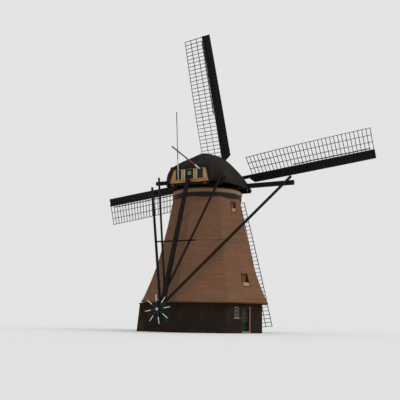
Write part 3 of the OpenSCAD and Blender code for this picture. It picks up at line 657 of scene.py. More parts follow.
@dataclass
class Shape:
    """A mesh in the making, with a map in metres."""

    name: str
    mesh: bmesh.types.BMesh = field(default_factory=bmesh.new)

    def __post_init__(self) -> None:
        """Adds the map."""
        self.skin = self.mesh.loops.layers.uv.new(SKIN_MAP)

    def face(self, verts: Sequence[bmesh.types.BMVert],
             uvs: Sequence[tuple[float, float]] | None = None) -> None:
        """Adds a face and its place on the map.

        Args:
            verts: Its corners, anticlockwise from outside.
            uvs: Their places on the map.
        """
        made = self.mesh.faces.new(verts)
        for loop, uv in zip(made.loops, uvs or [(0.0, 0.0)] * len(verts)):
            loop[self.skin].uv = uv

    def grid(self, rows: Sequence[Sequence[Vector]], uvs: Sequence[Sequence[tuple[float, float]]],
             closed: bool = True, ends: bool = False) -> None:
        """Adds a surface through rows of points.

        Args:
            rows: The rows, each as long as the others.
            uvs: One more place per row where it is closed.
            closed: True if each row is a loop.
            ends: True if the first and last row are filled.
        """
        verts = [[self.mesh.verts.new(p) for p in row] for row in rows]
        count = len(rows[0])
        for j in range(len(rows) - 1):
            for i in range(count if closed else count - 1):
                k = (i + 1) % count
                self.face([verts[j][i], verts[j][k], verts[j + 1][k], verts[j + 1][i]],
                          [uvs[j][i], uvs[j][i + 1], uvs[j + 1][i + 1], uvs[j + 1][i]])
        if ends:
            self.face(verts[0][::-1])
            self.face(verts[-1])

    def cuboid(self, size: Spot, place: Matrix | Sequence[float]) -> None:
        """Adds a box.

        Args:
            size: Its three sides.
            place: Where its middle goes, and how it turns if that is a matrix.
        """
        matrix = place if isinstance(place, Matrix) else Matrix.Translation(place)
        bmesh.ops.create_cube(self.mesh, size=1.0, matrix=matrix @ Matrix.Diagonal((*size, 1.0)))

    def bar(self, start: Vector, end: Vector, width: float, depth: float, up: Vector) -> None:
        """Adds a straight timber.

        Args:
            start: Middle of its first end.
            end: Middle of its other end.
            width: Its size across.
            depth: Its size along up.
            up: The direction that its depth follows.
        """
        along = (end - start).normalized()
        across = along.cross(up).normalized()
        turn = Matrix((across, along.cross(across), along)).transposed().to_4x4()
        self.cuboid((width, depth, (end - start).length), Matrix.Translation((start + end) / 2) @ turn)

    def tube(self, path: Sequence[Vector], radius: Callable[[int], float], sides: int) -> None:
        """Adds a round bar along a path, with closed ends.

        Args:
            path: Its points.
            radius: Gives its radius at each point.
            sides: Number of faces round it.
        """
        rows, run, place = [], 0.0, []
        angles = [2 * math.pi * i / sides for i in range(sides)]
        for j, p in enumerate(path):
            ahead = (path[min(j + 1, len(path) - 1)] - path[max(j - 1, 0)]).normalized()
            across = ahead.cross(Vector((0.11, 0.23, 1.0))).normalized()
            other = ahead.cross(across)
            r = radius(j)
            rows.append([p + r * (math.cos(a) * across + math.sin(a) * other) for a in angles])
            run += (p - path[j - 1]).length if j else 0.0
            place.append([(i / sides * 2 * math.pi * r, run) for i in range(sides + 1)])
        self.grid(rows, place, ends=True)

    def finish(self, finish: Finish, bevel: float = 0.0, smooth: bool = False, segments: int = 2) -> Piece:
        """Makes the object.

        Args:
            finish: Its finish.
            bevel: Width of its rounded edges.
            smooth: True for a surface that is curved all over.
            segments: Steps of each rounded edge.

        Returns:
            The object, at the origin.
        """
        bmesh.ops.recalc_face_normals(self.mesh, faces=self.mesh.faces[:])
        if bevel:
            sharp = [e for e in self.mesh.edges if len(e.link_faces) == 2 and e.calc_face_angle(0) > 0.5]
            bmesh.ops.bevel(self.mesh, geom=sharp, offset=bevel, segments=segments, affect="EDGES",
                            profile=0.6, clamp_overlap=True)
        made = link_mesh(self.name, [])
        self.mesh.to_mesh(made.data)
        self.mesh.free()
        made.data.materials.append(finish.material())
        made.data.polygons.foreach_set("use_smooth", [smooth] * len(made.data.polygons))
        return made


class Stamp(Enum):
    """What a repeated piece follows."""

    PATH = "path"
    POINTS = "points"


@dataclass
class Repeater:
    """Geometry Nodes that set copies of one small piece along a guide."""

    name: str
    mode: Stamp

    def tree(self) -> Tree:
        """Builds the tree.

        Returns:
            A tree with the inputs Geometry, Piece, Spacing, Spread, Seed and Finish.
        """
        tree = bpy.data.node_groups.new(self.name, "GeometryNodeTree")
        for label, kind in (("Geometry", "Geometry"), ("Piece", "Object"), ("Spacing", "Float"),
                            ("Spread", "Float"), ("Seed", "Int"), ("Finish", "Material")):
            tree.interface.new_socket(label, in_out="INPUT", socket_type="NodeSocket" + kind)
        tree.interface.new_socket("Geometry", in_out="OUTPUT", socket_type="NodeSocketGeometry")
        source = add_node(tree, "NodeGroupInput").outputs
        if self.mode is Stamp.PATH:
            curve = add_node(tree, "GeometryNodeMeshToCurve", {0: source["Geometry"]})
            spots = add_node(tree, "GeometryNodeCurveToPoints",
                             {"Curve": curve.outputs[0], "Length": source["Spacing"]}, mode="LENGTH").outputs
            points, turn = spots["Points"], spots["Rotation"]
        else:
            points = add_node(tree, "GeometryNodeMeshToPoints", {0: source["Geometry"]}).outputs[0]
            axis = add_node(tree, "GeometryNodeInputNamedAttribute", {"Name": "axis"},
                            data_type="FLOAT_VECTOR").outputs[0]
            turn = add_node(tree, "FunctionNodeAlignEulerToVector", {"Vector": axis}, axis="Z").outputs[0]
        piece = add_node(tree, "GeometryNodeObjectInfo", {"Object": source["Piece"]}).outputs["Geometry"]
        copies = add_node(tree, "GeometryNodeInstanceOnPoints",
                          {"Points": points, "Instance": piece, "Rotation": turn})
        tilt = add_node(tree, "FunctionNodeRandomValue", {"Seed": source["Seed"]}, data_type="FLOAT_VECTOR")
        for slot, sign in enumerate((-1, 1)):
            end = add_node(tree, "ShaderNodeVectorMath", {0: (sign,) * 3, "Scale": source["Spread"]},
                           operation="SCALE")
            tree.links.new(end.outputs[0], tilt.inputs[slot])
        turned = add_node(tree, "GeometryNodeRotateInstances",
                          {"Instances": copies.outputs[0], "Rotation": tilt.outputs[0]})
        real = add_node(tree, "GeometryNodeRealizeInstances", {0: turned.outputs[0]})
        painted = add_node(tree, "GeometryNodeSetMaterial",
                           {"Geometry": real.outputs[0], "Material": source["Finish"]})
        add_node(tree, "NodeGroupOutput", {0: painted.outputs[0]})
        return tree

    def run(self, guide: Piece, shape: Shape, finish: Finish, spacing: float = 0.1, spread: float = 0.0,
            seed: int = 1) -> Piece:
        """Sets the copies and turns them into one plain mesh.

        Args:
            guide: Object whose mesh is the path or the points.
            shape: What is repeated, made at the origin.
            finish: The finish of the copies.
            spacing: Distance between copies on a path.
            spread: Random turn of each copy, in radians.
            seed: Seed of the random turns.

        Returns:
            The guide object, which now holds the copies.
        """
        piece, paint = shape.finish(finish), finish.material()
        tree = bpy.data.node_groups.get(self.name) or self.tree()
        modifier = guide.modifiers.new(self.name, "NODES")
        modifier.node_group = tree
        values = {"Piece": piece, "Spacing": spacing, "Spread": spread, "Seed": seed, "Finish": paint}
        for item in tree.interface.items_tree:
            if item.in_out == "INPUT" and item.name in values:
                modifier[item.identifier] = values[item.name]
        settle(guide)
        guide.data.materials.clear()
        guide.data.materials.append(paint)
        bpy.data.objects.remove(piece)
        return guide


ALONG = Repeater("Repeat along a path", Stamp.PATH)
ON_POINTS = Repeater("Repeat on points", Stamp.POINTS)


def guide_path(name: str, points: Iterable[Vector], closed: bool) -> Piece:
    """Makes a path that copies follow.

    Args:
        name: Name of the finished piece.
        points: The path's points.
        closed: True for a loop.

    Returns:
        The path as an object of edges.
    """
    spots = list(points)
    last = len(spots) - 1
    return link_mesh(name, spots, [(i, i + 1) for i in range(last)] + ([(last, 0)] if closed else []))


def set_bolts(name: str, spots: Sequence[tuple[Vector, Vector]], size: float, body: Body) -> None:
    """Sets square-headed bolts with their washers.

    Args:
        name: Name of the piece that they make.
        spots: Place and axis of each bolt.
        size: Width of the washers.
        body: What they ride on.
    """
    guide = link_mesh(name, [p for p, _ in spots])
    layer = guide.data.attributes.new("axis", "FLOAT_VECTOR", "POINT")
    for item, (_, axis) in zip(layer.data, spots):
        item.vector = axis
    bolt = Shape("bolt")
    bolt.tube([Vector((0, 0, -0.004)), Vector((0, 0, size * 0.12))], lambda i: size / 2, 10)
    bolt.cuboid((size * 0.55, size * 0.55, size * 0.35), (0, 0, size * 0.28))
    carry(ON_POINTS.run(guide, bolt, IRON), body, "iron")


def dress(finish: Finish, *nodes: str) -> None:
    """Gives nodes of the frame their finish.

    Args:
        finish: The finish.
        *nodes: The nodes' names.
    """
    for name in nodes:
        node = FRAME["nodes"][name]
        if not node.material_slots:
            node.data.materials.append(None)
        for slot in node.material_slots:
            slot.material = finish.material()


def apothem(node: str) -> float:
    """Returns the distance from the axis to the sides of an eight-sided node."""
    low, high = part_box(node)
    return max(abs(low.x), high.x, abs(low.y), high.y) * math.cos(HALF_SIDE)


def set_blocks(name: str, finish: Finish, body: Body, slot: str, bevel: float,
               blocks: Iterable[tuple[Spot, Matrix | Sequence[float]]]) -> None:
    """Makes one piece of blocks.

    Args:
        name: Its name.
        finish: Its finish.
        body: What it rides on.
        slot: The record's material slot.
        bevel: Width of its rounded edges.
        blocks: Size and place of each block.
    """
    shape = Shape(name)
    for size, place in blocks:
        shape.cuboid(size, place)
    carry(shape.finish(finish, bevel=bevel), body, slot)


@dataclass
class BodyThatch:
    """The eight-sided coat of reed, with soft hips and a rounded lower edge."""

    neck_ap: float = 2.9
    flare: float = 0.33
    flare_power: float = 3.3
    thickness: float = 0.38
    brim: float = 0.42
    lip: float = 0.09
    wall_top: float = 2.5
    wall: float = 0.33
    hip_radius: float = 0.34
    uneven: float = 0.035
    rows: int = 60
    inner_rows: int = 8
    flats: int = 10
    bend: int = 6
    hatch_across: float = 0.35
    hatch_depth: float = 1.6
    stalks: int = 5
    stalk_radius: float = 0.006
    # How far the fringe lies inside and over the edge, and the distance between its bunches
    fringe_inset: float = 0.07
    fringe_lift: float = 0.012
    fringe_pitch: float = 0.075
    # Distance from the axis at which the map is as wide as the girth
    map_reach: float = 4.0
    # Width, height and middle of each hatch
    hatches: tuple[Spot, ...] = ((0.8, 1.12, 4.34), (0.56, 0.94, 10.62))

    def __post_init__(self) -> None:
        """Reads the thatch's reach from the frame."""
        low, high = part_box("thatch_sides_odd")
        self.eave_z, self.neck_z = low.z, high.z
        self.eave_ap, self.base_ap = apothem("thatch_sides_odd"), apothem("base_walls_odd")

    def reach(self, height: float) -> float:
        """Finds the outside of the coat.

        Args:
            height: Height above the ground.

        Returns:
            Its distance from the axis.
        """
        share = (self.neck_z - height) / (self.neck_z - self.eave_z)
        spread = self.eave_ap - self.neck_ap
        return self.neck_ap + spread * ((1 - self.flare) * share + self.flare * share**self.flare_power)

    def loop(self, reach: float, height: float, radius: float, rough: float) -> list[Vector]:
        """Makes one loop round the mill.

        Args:
            reach: Distance from the axis to a side.
            height: Height of the loop.
            radius: Radius of its hips.
            rough: Unevenness of the coat.

        Returns:
            Its points, anticlockwise from above.
        """
        points = []
        straight = (reach - radius) * math.tan(HALF_SIDE)
        for side in range(SIDES):
            azimuth = FIRST_AZIMUTH + 2 * HALF_SIDE * side
            for i in range(self.flats):
                across = straight * (2 * i / (self.flats - 1) - 1)
                points.append(side_point(azimuth, across, reach, height))
            corner = side_point(azimuth + HALF_SIDE, 0, (reach - radius) / math.cos(HALF_SIDE), height)
            for i in range(1, self.bend):
                points.append(corner + side_point(azimuth + 2 * HALF_SIDE * i / self.bend, 0, radius, 0))
        for p in points:
            out = Vector((p.x, p.y, 0)).normalized()
            p += out * rough * noise.noise(Vector((p.x * 0.9, p.y * 0.9, p.z * 0.7)))
        return points

    def profile(self) -> list[tuple[float, float, float, float]]:
        """Lists the section all the way round.

        Returns:
            Reach, height, hip radius and unevenness of each loop.
        """
        eave, lip, rise = self.eave_z, self.lip, self.neck_z - self.eave_z
        section = [(self.base_ap, self.wall_top, 0.05, 0.0), (self.eave_ap - self.brim, eave, 0.1, 0.01)]
        for a in (math.pi / 2 * i / 6 for i in range(7)):
            reach = self.eave_ap - lip + lip * math.sin(a)
            section.append((reach, eave + lip - lip * math.cos(a), 0.2, 0.02))
        for j in range(1, self.rows + 1):
            z = eave + lip + (rise - lip) * j / self.rows
            section.append((self.reach(z), z, self.hip_radius, self.uneven * min(1, (self.rows - j) / 4)))
        section.append((self.neck_ap - self.thickness, self.neck_z, 0.1, 0.0))
        for j in range(self.inner_rows, 0, -1):
            z = eave + rise * j / (self.inner_rows + 1)
            section.append((self.reach(z) - self.thickness, z, 0.1, 0.0))
        return section + [(self.base_ap - self.wall, self.wall_top, 0.05, 0.0)]

    def build(self) -> None:
        """Makes the coat with its hatch openings."""
        skin = Shape("body_thatch")
        section = self.profile()
        rows, maps, run = [], [], 0.0
        girth = 2 * SIDES * self.map_reach * math.tan(HALF_SIDE)
        for j, (reach, height, radius, rough) in enumerate(section + section[:1]):
            if j:
                run += math.hypot(reach - section[j - 1][0], height - section[j - 1][1])
            rows.append(self.loop(reach, height, radius, rough))
            count = len(rows[-1])
            maps.append([(girth * i / count, run) for i in range(count + 1)])
        skin.grid(rows, maps)
        bmesh.ops.remove_doubles(skin.mesh, verts=skin.mesh.verts[:], dist=1e-5)
        piece = skin.finish(BODY_REED, smooth=True)
        turn = Matrix.Rotation(DOOR_AZIMUTH, 4, "Z")
        for width, height, z in self.hatches:
            cutter = Shape("cutter")
            place = side_point(DOOR_AZIMUTH, self.hatch_across, self.reach(z), z)
            cutter.cuboid((width, self.hatch_depth, height), Matrix.Translation(place) @ turn)
            tool = cutter.finish(BODY_REED)
            modifier = piece.modifiers.new("Hatch", "BOOLEAN")
            modifier.object, modifier.operation, modifier.solver = tool, "DIFFERENCE", "EXACT"
            settle(piece)
            bpy.data.objects.remove(tool)
        piece.data.polygons.foreach_set("use_smooth", [True] * len(piece.data.polygons))
        piece.data.set_sharp_from_angle(angle=math.radians(45))
        carry(piece, Body.MILL, "thatch", "thatch_sides_odd", "thatch_sides_even")
        self.fringe()

    def fringe(self) -> None:
        """Sets the cut stalk ends along the lower edge."""
        stalk = Shape("stalks")
        for i in range(self.stalks):
            foot = Vector((0.012 * math.sin(2.4 * i), (i - 2) * 0.014, 0))
            tip = foot + Vector((0.018, 0.003 * i, 0)) + Vector((0.03, 0, -0.055 - 0.006 * (i % 3)))
            stalk.tube([foot, tip], lambda k: self.stalk_radius, 4)
        path = self.loop(self.eave_ap - self.fringe_inset, self.eave_z + self.fringe_lift, 0.2, 0.0)
        guide = guide_path("reed_fringe", path, True)
        fringe = ALONG.run(guide, stalk, FRINGE_REED, spacing=self.fringe_pitch, spread=0.5, seed=4)
        carry(fringe, Body.MILL, "thatch")


@dataclass
class CapThatch:
    """The coat of reed on the cap, one smooth dome with a verge over the rear gable."""

    gable_half: float = 1.88
    gable_top_half: float = 1.56
    gable_rise: float = 1.18
    thickness: float = 0.28
    crown: float = 0.16
    slices: int = 44
    arc: int = 22
    verge: float = 0.05
    # Length from the gable over which the boxed shape turns into the dome
    boxed_length: float = 0.7
    uneven: float = 0.03

    def __post_init__(self) -> None:
        """Reads the cap's reach from the frame and lists its stations."""
        low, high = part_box("cap_thatch_right")
        self.back, self.front, self.eave, self.half = low.y, high.y, low.z, high.x
        rise = high.z - self.crown - self.eave
        # Place, half width, rise and roundness
        self.stations = [
            (self.back, self.gable_half + self.thickness, self.gable_rise + 1.15 * self.thickness, 4.0),
            (self.back + self.boxed_length, self.half - 0.62, rise - 1.36, 3.3),
            (self.back + 1.5, self.half - 0.26, rise - 0.68, 1.75),
            (self.back + 2.44, self.half - 0.04, rise - 0.2, 1.35),
            (self.back + 4.24, self.half, rise + self.crown / 4, 1.22),
            (self.front - 0.9, self.half - 0.06, rise + self.crown, 1.2),
            (self.front, self.half - 0.44, rise, 1.2)]

    def station(self, y: float) -> list[float]:
        """Finds the section at a place along the cap, by a smooth curve through the stations.

        Args:
            y: The place.

        Returns:
            Half width, rise over the eave and roundness.
        """
        known = self.stations
        k = max(i for i in range(len(known) - 1) if known[i][0] <= y + 1e-9 or i == 0)
        a, b, c, d = known[max(k - 1, 0)], known[k], known[k + 1], known[min(k + 2, len(known) - 1)]
        step = c[0] - b[0]
        t = (y - b[0]) / step
        out = []
        for n in (1, 2, 3):
            m0 = (c[n] - a[n]) / (c[0] - a[0]) * step if k else c[n] - b[n]
            m1 = (d[n] - b[n]) / (d[0] - b[0]) * step if k + 2 < len(known) else c[n] - b[n]
            out.append((2 * t**3 - 3 * t**2 + 1) * b[n] + (t**3 - 2 * t**2 + t) * m0
                       + (3 * t**2 - 2 * t**3) * c[n] + (t**3 - t**2) * m1)
        return out

    def arch(self, y: float, inset: float) -> list[Vector]:
        """Makes one arch over the cap.

        Args:
            y: Its place along the cap.
            inset: Distance inside the outer face.

        Returns:
            Its points from the right eave to the left.
        """
        half, rise, power = self.station(y)
        half, rise = half - inset, rise - 1.15 * inset
        # Share of the boxed shape, which follows the gable at the back
        boxed = max(0.0, 1 - (y - self.back) / self.boxed_length) * (1.0 if inset else 0.9)
        grow = self.thickness - inset
        points = []
        for k in range(2 * self.arc + 1):
            a = math.pi * k / (2 * self.arc)
            x = half * math.copysign(abs(math.cos(a)) ** (2 / power), math.cos(a))
            z = rise * max(0.0, math.sin(a)) ** (2 / power)
            if boxed:
                share = 1 - abs(1 - k / self.arc)
                side = min(1.0, share / 0.5)
                top = max(0.0, (share - 0.5) / 0.5)
                reach = (self.gable_half + grow + (self.gable_top_half - self.gable_half) * side) * (1 - top)
                x = x * (1 - boxed) + math.copysign(reach, math.cos(a)) * boxed
                z = z * (1 - boxed) + (self.gable_rise + 1.1 * grow) * side * boxed
            p = Vector((x, y, self.eave + z))
            if not inset:
                p += Vector((p.x, 0, z)).normalized() * self.uneven * noise.noise(p * 0.8)
            points.append(p)
        return points

    def build(self) -> None:
        """Makes the coat."""
        skin = Shape("cap_thatch")
        # The slices lie closer together towards the gable
        length = self.front - self.back
        places = [self.back + length * (i / self.slices) ** 1.15 for i in range(self.slices + 1)]
        outer, inner = [], []
        for y in places:
            outer.append([skin.mesh.verts.new(p) for p in self.arch(y, 0.0)])
            inner.append([skin.mesh.verts.new(p) for p in self.arch(y, self.thickness)])
        middle = self.arch(places[20], 0)
        run = [0.0]
        for p, q in zip(middle, middle[1:]):
            run.append(run[-1] + (q - p).length)
        last, deep = 2 * self.arc, self.thickness
        for j, (u0, u1) in enumerate(zip(places, places[1:])):
            for k in range(last):
                place = [(u0, run[k]), (u1, run[k]), (u1, run[k + 1]), (u0, run[k + 1])]
                skin.face([outer[j][k], outer[j + 1][k], outer[j + 1][k + 1], outer[j][k + 1]], place)
                skin.face([inner[j][k + 1], inner[j + 1][k + 1], inner[j + 1][k], inner[j][k]], place[::-1])
            for k in (0, last):
                skin.face([outer[j][k], inner[j][k], inner[j + 1][k], outer[j + 1][k]],
                          [(u0, 0.0), (u0, deep), (u1, deep), (u1, 0.0)])
        for j in (0, self.slices):
            for k in range(last):
                skin.face([outer[j][k], outer[j][k + 1], inner[j][k + 1], inner[j][k]],
                          [(run[k], 0.0), (run[k + 1], 0.0), (run[k + 1], deep), (run[k], deep)])
        piece = skin.finish(CAP_REED, bevel=self.verge, smooth=True, segments=3)
        piece.data.set_sharp_from_angle(angle=math.radians(50))
        carry(piece, Body.CAP, "cap_thatch", "cap_thatch_left", "cap_thatch_right")


@dataclass
class Gable:
    """Boards, posts, lights and sill of the rear gable."""

    # Middle, width and height of each light
    lights: tuple[Spot, ...] = ((-1.05, 0.53, 0.85), (0.0, 0.78, 0.88), (1.05, 0.53, 0.85))
    light_foot: float = 0.26
    frame: float = 0.045
    frame_depth: float = 0.06
    # How far the frames' middle stands out from the lights
    proud: float = 0.02
    # Size of a post, its distance from its pair's middle and the pair's from the gable's, and its height
    post: Spot = (0.09, 0.03, 1.08)
    post_apart: tuple[float, float] = (0.13, 0.59)
    post_middle: float = 0.6
    # Upright and rail of the little frame in the middle light, how far they lie from its middle
    # across, forward and up, and the height of that middle
    pane_upright: Spot = (0.028, 0.03, 0.26)
    pane_rail: Spot = (0.21, 0.03, 0.028)
    pane_reach: Spot = (0.105, 0.012, 0.116)
    pane_middle: float = 0.82
    # Size of the sill's boards and their place across, out and up
    sill: Spot = (1.5, 0.035, 0.24)
    sill_place: Spot = (1.03, 0.018, 0.13)
    # Size of the boards on the beams' ends and their place
    end_board: Spot = (0.3, 0.03, 0.3)
    end_place: Spot = (1.56, 0.015, 0.13)

    def build(self) -> None:
        """Dresses the gable and adds frames, posts and bars."""
        dress(GABLE, "rear_gable")
        dress(GREEN, "gable_windows")
        base = Vector((0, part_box("gable_windows")[0].y - self.proud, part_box("rear_gable")[0].z))
        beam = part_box("side_beams")[0]
        lifted, (across, ahead, up) = base + Vector((0, 0, self.pane_middle)), self.pane_reach
        near, far = self.post_apart
        posts, frames, bars, sills, ends = [], [], [], [], []
        for side in (-1, 1):
            posts += [(self.post, base + Vector((side * far + x, -self.post[1] / 2, self.post_middle)))
                      for x in (-near, near)]
            for x, width, height in self.lights:
                middle = base + Vector((x, 0, self.light_foot + height / 2))
                frames += [((self.frame, self.frame_depth, height),
                            middle + Vector((side * (width - self.frame) / 2, 0, 0))),
                           ((width - 2 * self.frame, self.frame_depth, self.frame),
                            middle + Vector((0, 0, side * (height - self.frame) / 2)))]
            bars += [(self.pane_upright, lifted + Vector((side * across, ahead, 0))),
                     (self.pane_rail, lifted + Vector((0, ahead, side * up)))]
            for boards, size, (x, out, z), start in (
                    (sills, self.sill, self.sill_place, base), (ends, self.end_board, self.end_place, beam)):
                boards.append((size, (side * x, start.y - out, start.z + z)))
        for name, finish, bevel, blocks in (
                ("gable_posts", POST, 0.006, posts), ("gable_light_frames", DARK_BROWN, 0.005, frames),
                ("gable_pane_frame", WHITE, 0.004, bars), ("gable_sill_board", SILL, 0.006, sills),
                ("beam_end_boards", RED, 0.006, ends)):
            set_blocks(name, finish, Body.CAP, "gable_paint", bevel, blocks)


@dataclass
class Flagpoles:
    """Two banded poles at the rear gable."""

    steps: int = 12
    # Share of its radius that a pole loses up to its tip
    taper: float = 0.15
    ball_steps: int = 6
    ball_half: float = 0.04
    # How far the plane that the poles are measured from stands out from the gable's lights
    proud: float = 0.02
    # Place of the upright pole's foot and tip across, and its distance from that plane
    upright: Spot = (-1.0, -1.3, 0.12)
    upright_radius: float = 0.042
    upright_bands: tuple[tuple[float, str], ...] = (
        (0.0, "#b7bab0"), (0.3, "#4f1a1e"), (0.46, "#66767f"), (0.8, "#4f1a1e"))
    # Place of the slanting pole's foot and tip across, out from that plane and up
    slant_foot: Spot = (1.0, 0.03, 0.84)
    slant_tip: Spot = (-0.81, 1.52, 2.58)
    slant_radius: float = 0.066
    slant_bands: tuple[tuple[float, str], ...] = (
        (0.0, "#cfcdc0"), (0.17, "#5f1119"), (0.4, "#1a3246"), (0.66, "#201311"))

    def pole(self, name: str, foot: Vector, tip: Vector, radius: float,
             bands: tuple[tuple[float, str], ...]) -> Piece:
        """Makes one pole with its ball.

        Args:
            name: The piece's name.
            foot: Its foot.
            tip: Its tip.
            radius: Its radius at the foot.
            bands: Share of the length and colour of each band, from the foot.

        Returns:
            The pole.
        """
        shape = Shape(name)
        along = (tip - foot).normalized()
        shares = [i / self.ball_steps for i in range(1, self.ball_steps + 1)]
        path = [foot.lerp(tip, i / self.steps) for i in range(self.steps + 1)]
        sizes = [radius * (1 - self.taper * i / self.steps) for i in range(self.steps + 1)]
        path += [tip + along * self.ball_half * (1 - math.cos(math.pi * share)) for share in shares]
        sizes += [0.004 + 1.05 * radius * math.sin(math.pi * (0.3 + 0.7 * share)) for share in shares]
        shape.tube(path, lambda i: sizes[i], 12)
        return shape.finish(BandedPaint(name + " paint", (tip - foot).length, bands), smooth=True)

    def build(self) -> None:
        """Makes both poles."""
        low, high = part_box("flagpoles")
        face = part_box("gable_windows")[0].y - self.proud
        foot, tip, out = self.upright
        upright = self.pole("upright_flagpole", Vector((foot, face - out, low.z)),
                            Vector((tip, face - out, high.z)), self.upright_radius, self.upright_bands)
        ends = [Vector((x, face - out, low.z + z)) for x, out, z in (self.slant_foot, self.slant_tip)]
        slant = self.pole("slanting_flagpole", *ends, self.slant_radius, self.slant_bands)
        carry(upright, Body.CAP, "flag_paint", "flagpoles")
        carry(slant, Body.CAP, "flag_paint")


@dataclass
class Tail:
    """Spruits, braces, tail pole and their ironwork."""

    lean: float = math.radians(19.3)
    # Height and distance behind the axis of the pole's head, height of its foot, and its two widths
    head: tuple[float, float] = (13.1, 3.51)
    foot: float = 0.85
    widths: tuple[float, float] = (0.32, 0.26)
    bands: tuple[float, ...] = (1.05, 3.9, 6.3, 9.0, 11.6)
    band_half: float = 0.04
    band_thickness: float = 0.012
    # Reach of the bolts on each beam to the left and the right, half their spacing and their washers
    bolts: tuple[tuple[str, tuple[float, float]], ...] = (
        ("long_spruit", (-6.67, 6.95)), ("short_spruit", (-2.99, 2.99)))
    bolt_apart: float = 0.07
    washer: float = 0.09

    def build(self) -> None:
        """Dresses the timbers and adds bands and bolts."""
        dress(TAR, "tail_pole", "long_braces", "short_braces")
        dress(TAR_LEVEL, "long_spruit", "short_spruit", "cross_bar")
        dress(IRON, "tie_cables")
        along = Vector((0, math.sin(self.lean), math.cos(self.lean)))
        across, aside = Vector((0, math.cos(self.lean), -math.sin(self.lean))), Vector((1, 0, 0))
        bands, thick = Shape("pole_bands"), self.band_thickness
        top, back = self.head
        for height in self.bands:
            share = (height - self.foot) / (top - self.foot)
            width = self.widths[0] + (self.widths[1] - self.widths[0]) * share
            spot = Vector((0, -back - (top - height) * math.tan(self.lean), height))
            for way in (across, -across, aside, -aside):
                middle, half = spot + way * (width + thick) / 2, along * self.band_half
                bands.bar(middle - half, middle + half, width + 2 * thick, thick, way)
        carry(bands.finish(IRON), Body.CAP, "iron")
        spots = []
        for node, reaches in self.bolts:
            low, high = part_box(node)
            for reach in reaches:
                spots += [(Vector((reach, high.y, (low.z + high.z) / 2 + dz)), Vector((0, 1, 0)))
                          for dz in (-self.bolt_apart, self.bolt_apart)]
        set_bolts("spruit_bolts", spots, self.washer, Body.CAP)


@dataclass
class Winch:
    """Wheel, axle and cheeks of the winch."""

    hub: float = 0.13
    # Cut of the hub's edges across and along
    hub_edge: tuple[float, float] = (0.015, 0.02)
    # Size of each plate on the hub's outer end and how far out its middle lies
    plates: tuple[tuple[Spot, float], ...] = (((0.17, 0.05, 0.17), 0.025), ((0.09, 0.06, 0.09), 0.075))
    spokes: int = 8
    turn: float = math.radians(-9)
    white_from: float = 0.62
    # Distance from the axle and radius along a spoke
    taper: tuple[tuple[float, float], ...] = (
        (0.08, 0.04), (0.5, 0.034), (0.95, 0.027), (1.12, 0.026), (1.145, 0.014))

    def build(self) -> None:
        """Dresses the winch, makes its wheel and adds the hub plates."""
        low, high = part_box("winch_wheel")
        middle = (low + high) / 2
        dress(IRON, "winch_axle")
        dress(WINCH_GREEN, "winch_cheeks")
        wheel, (cut, edge) = Shape("winch_spokes"), self.hub_edge
        wheel.tube([Vector((0, y, middle.z)) for y in (low.y, low.y + edge, high.y - edge, high.y)],
                   lambda i: self.hub - (cut if i in (0, 3) else 0.0), 24)
        for i in range(self.spokes):
            angle = self.turn + 2 * math.pi * i / self.spokes
            arm = Vector((math.sin(angle), 0, math.cos(angle)))
            wheel.tube([Vector((0, middle.y, middle.z)) + arm * r for r, _ in self.taper],
                       lambda k: self.taper[k][1], 10)
        paint = SpokePaint("Winch wheel paint", middle.z, self.white_from)
        carry(wheel.finish(paint, smooth=True), Body.WINCH, "wheel_paint", "winch_wheel")
        set_blocks("winch_hub_plate", WHITE, Body.WINCH, "wheel_paint", 0.01,
                   [(size, (0, low.y - out, middle.z)) for size, out in self.plates])


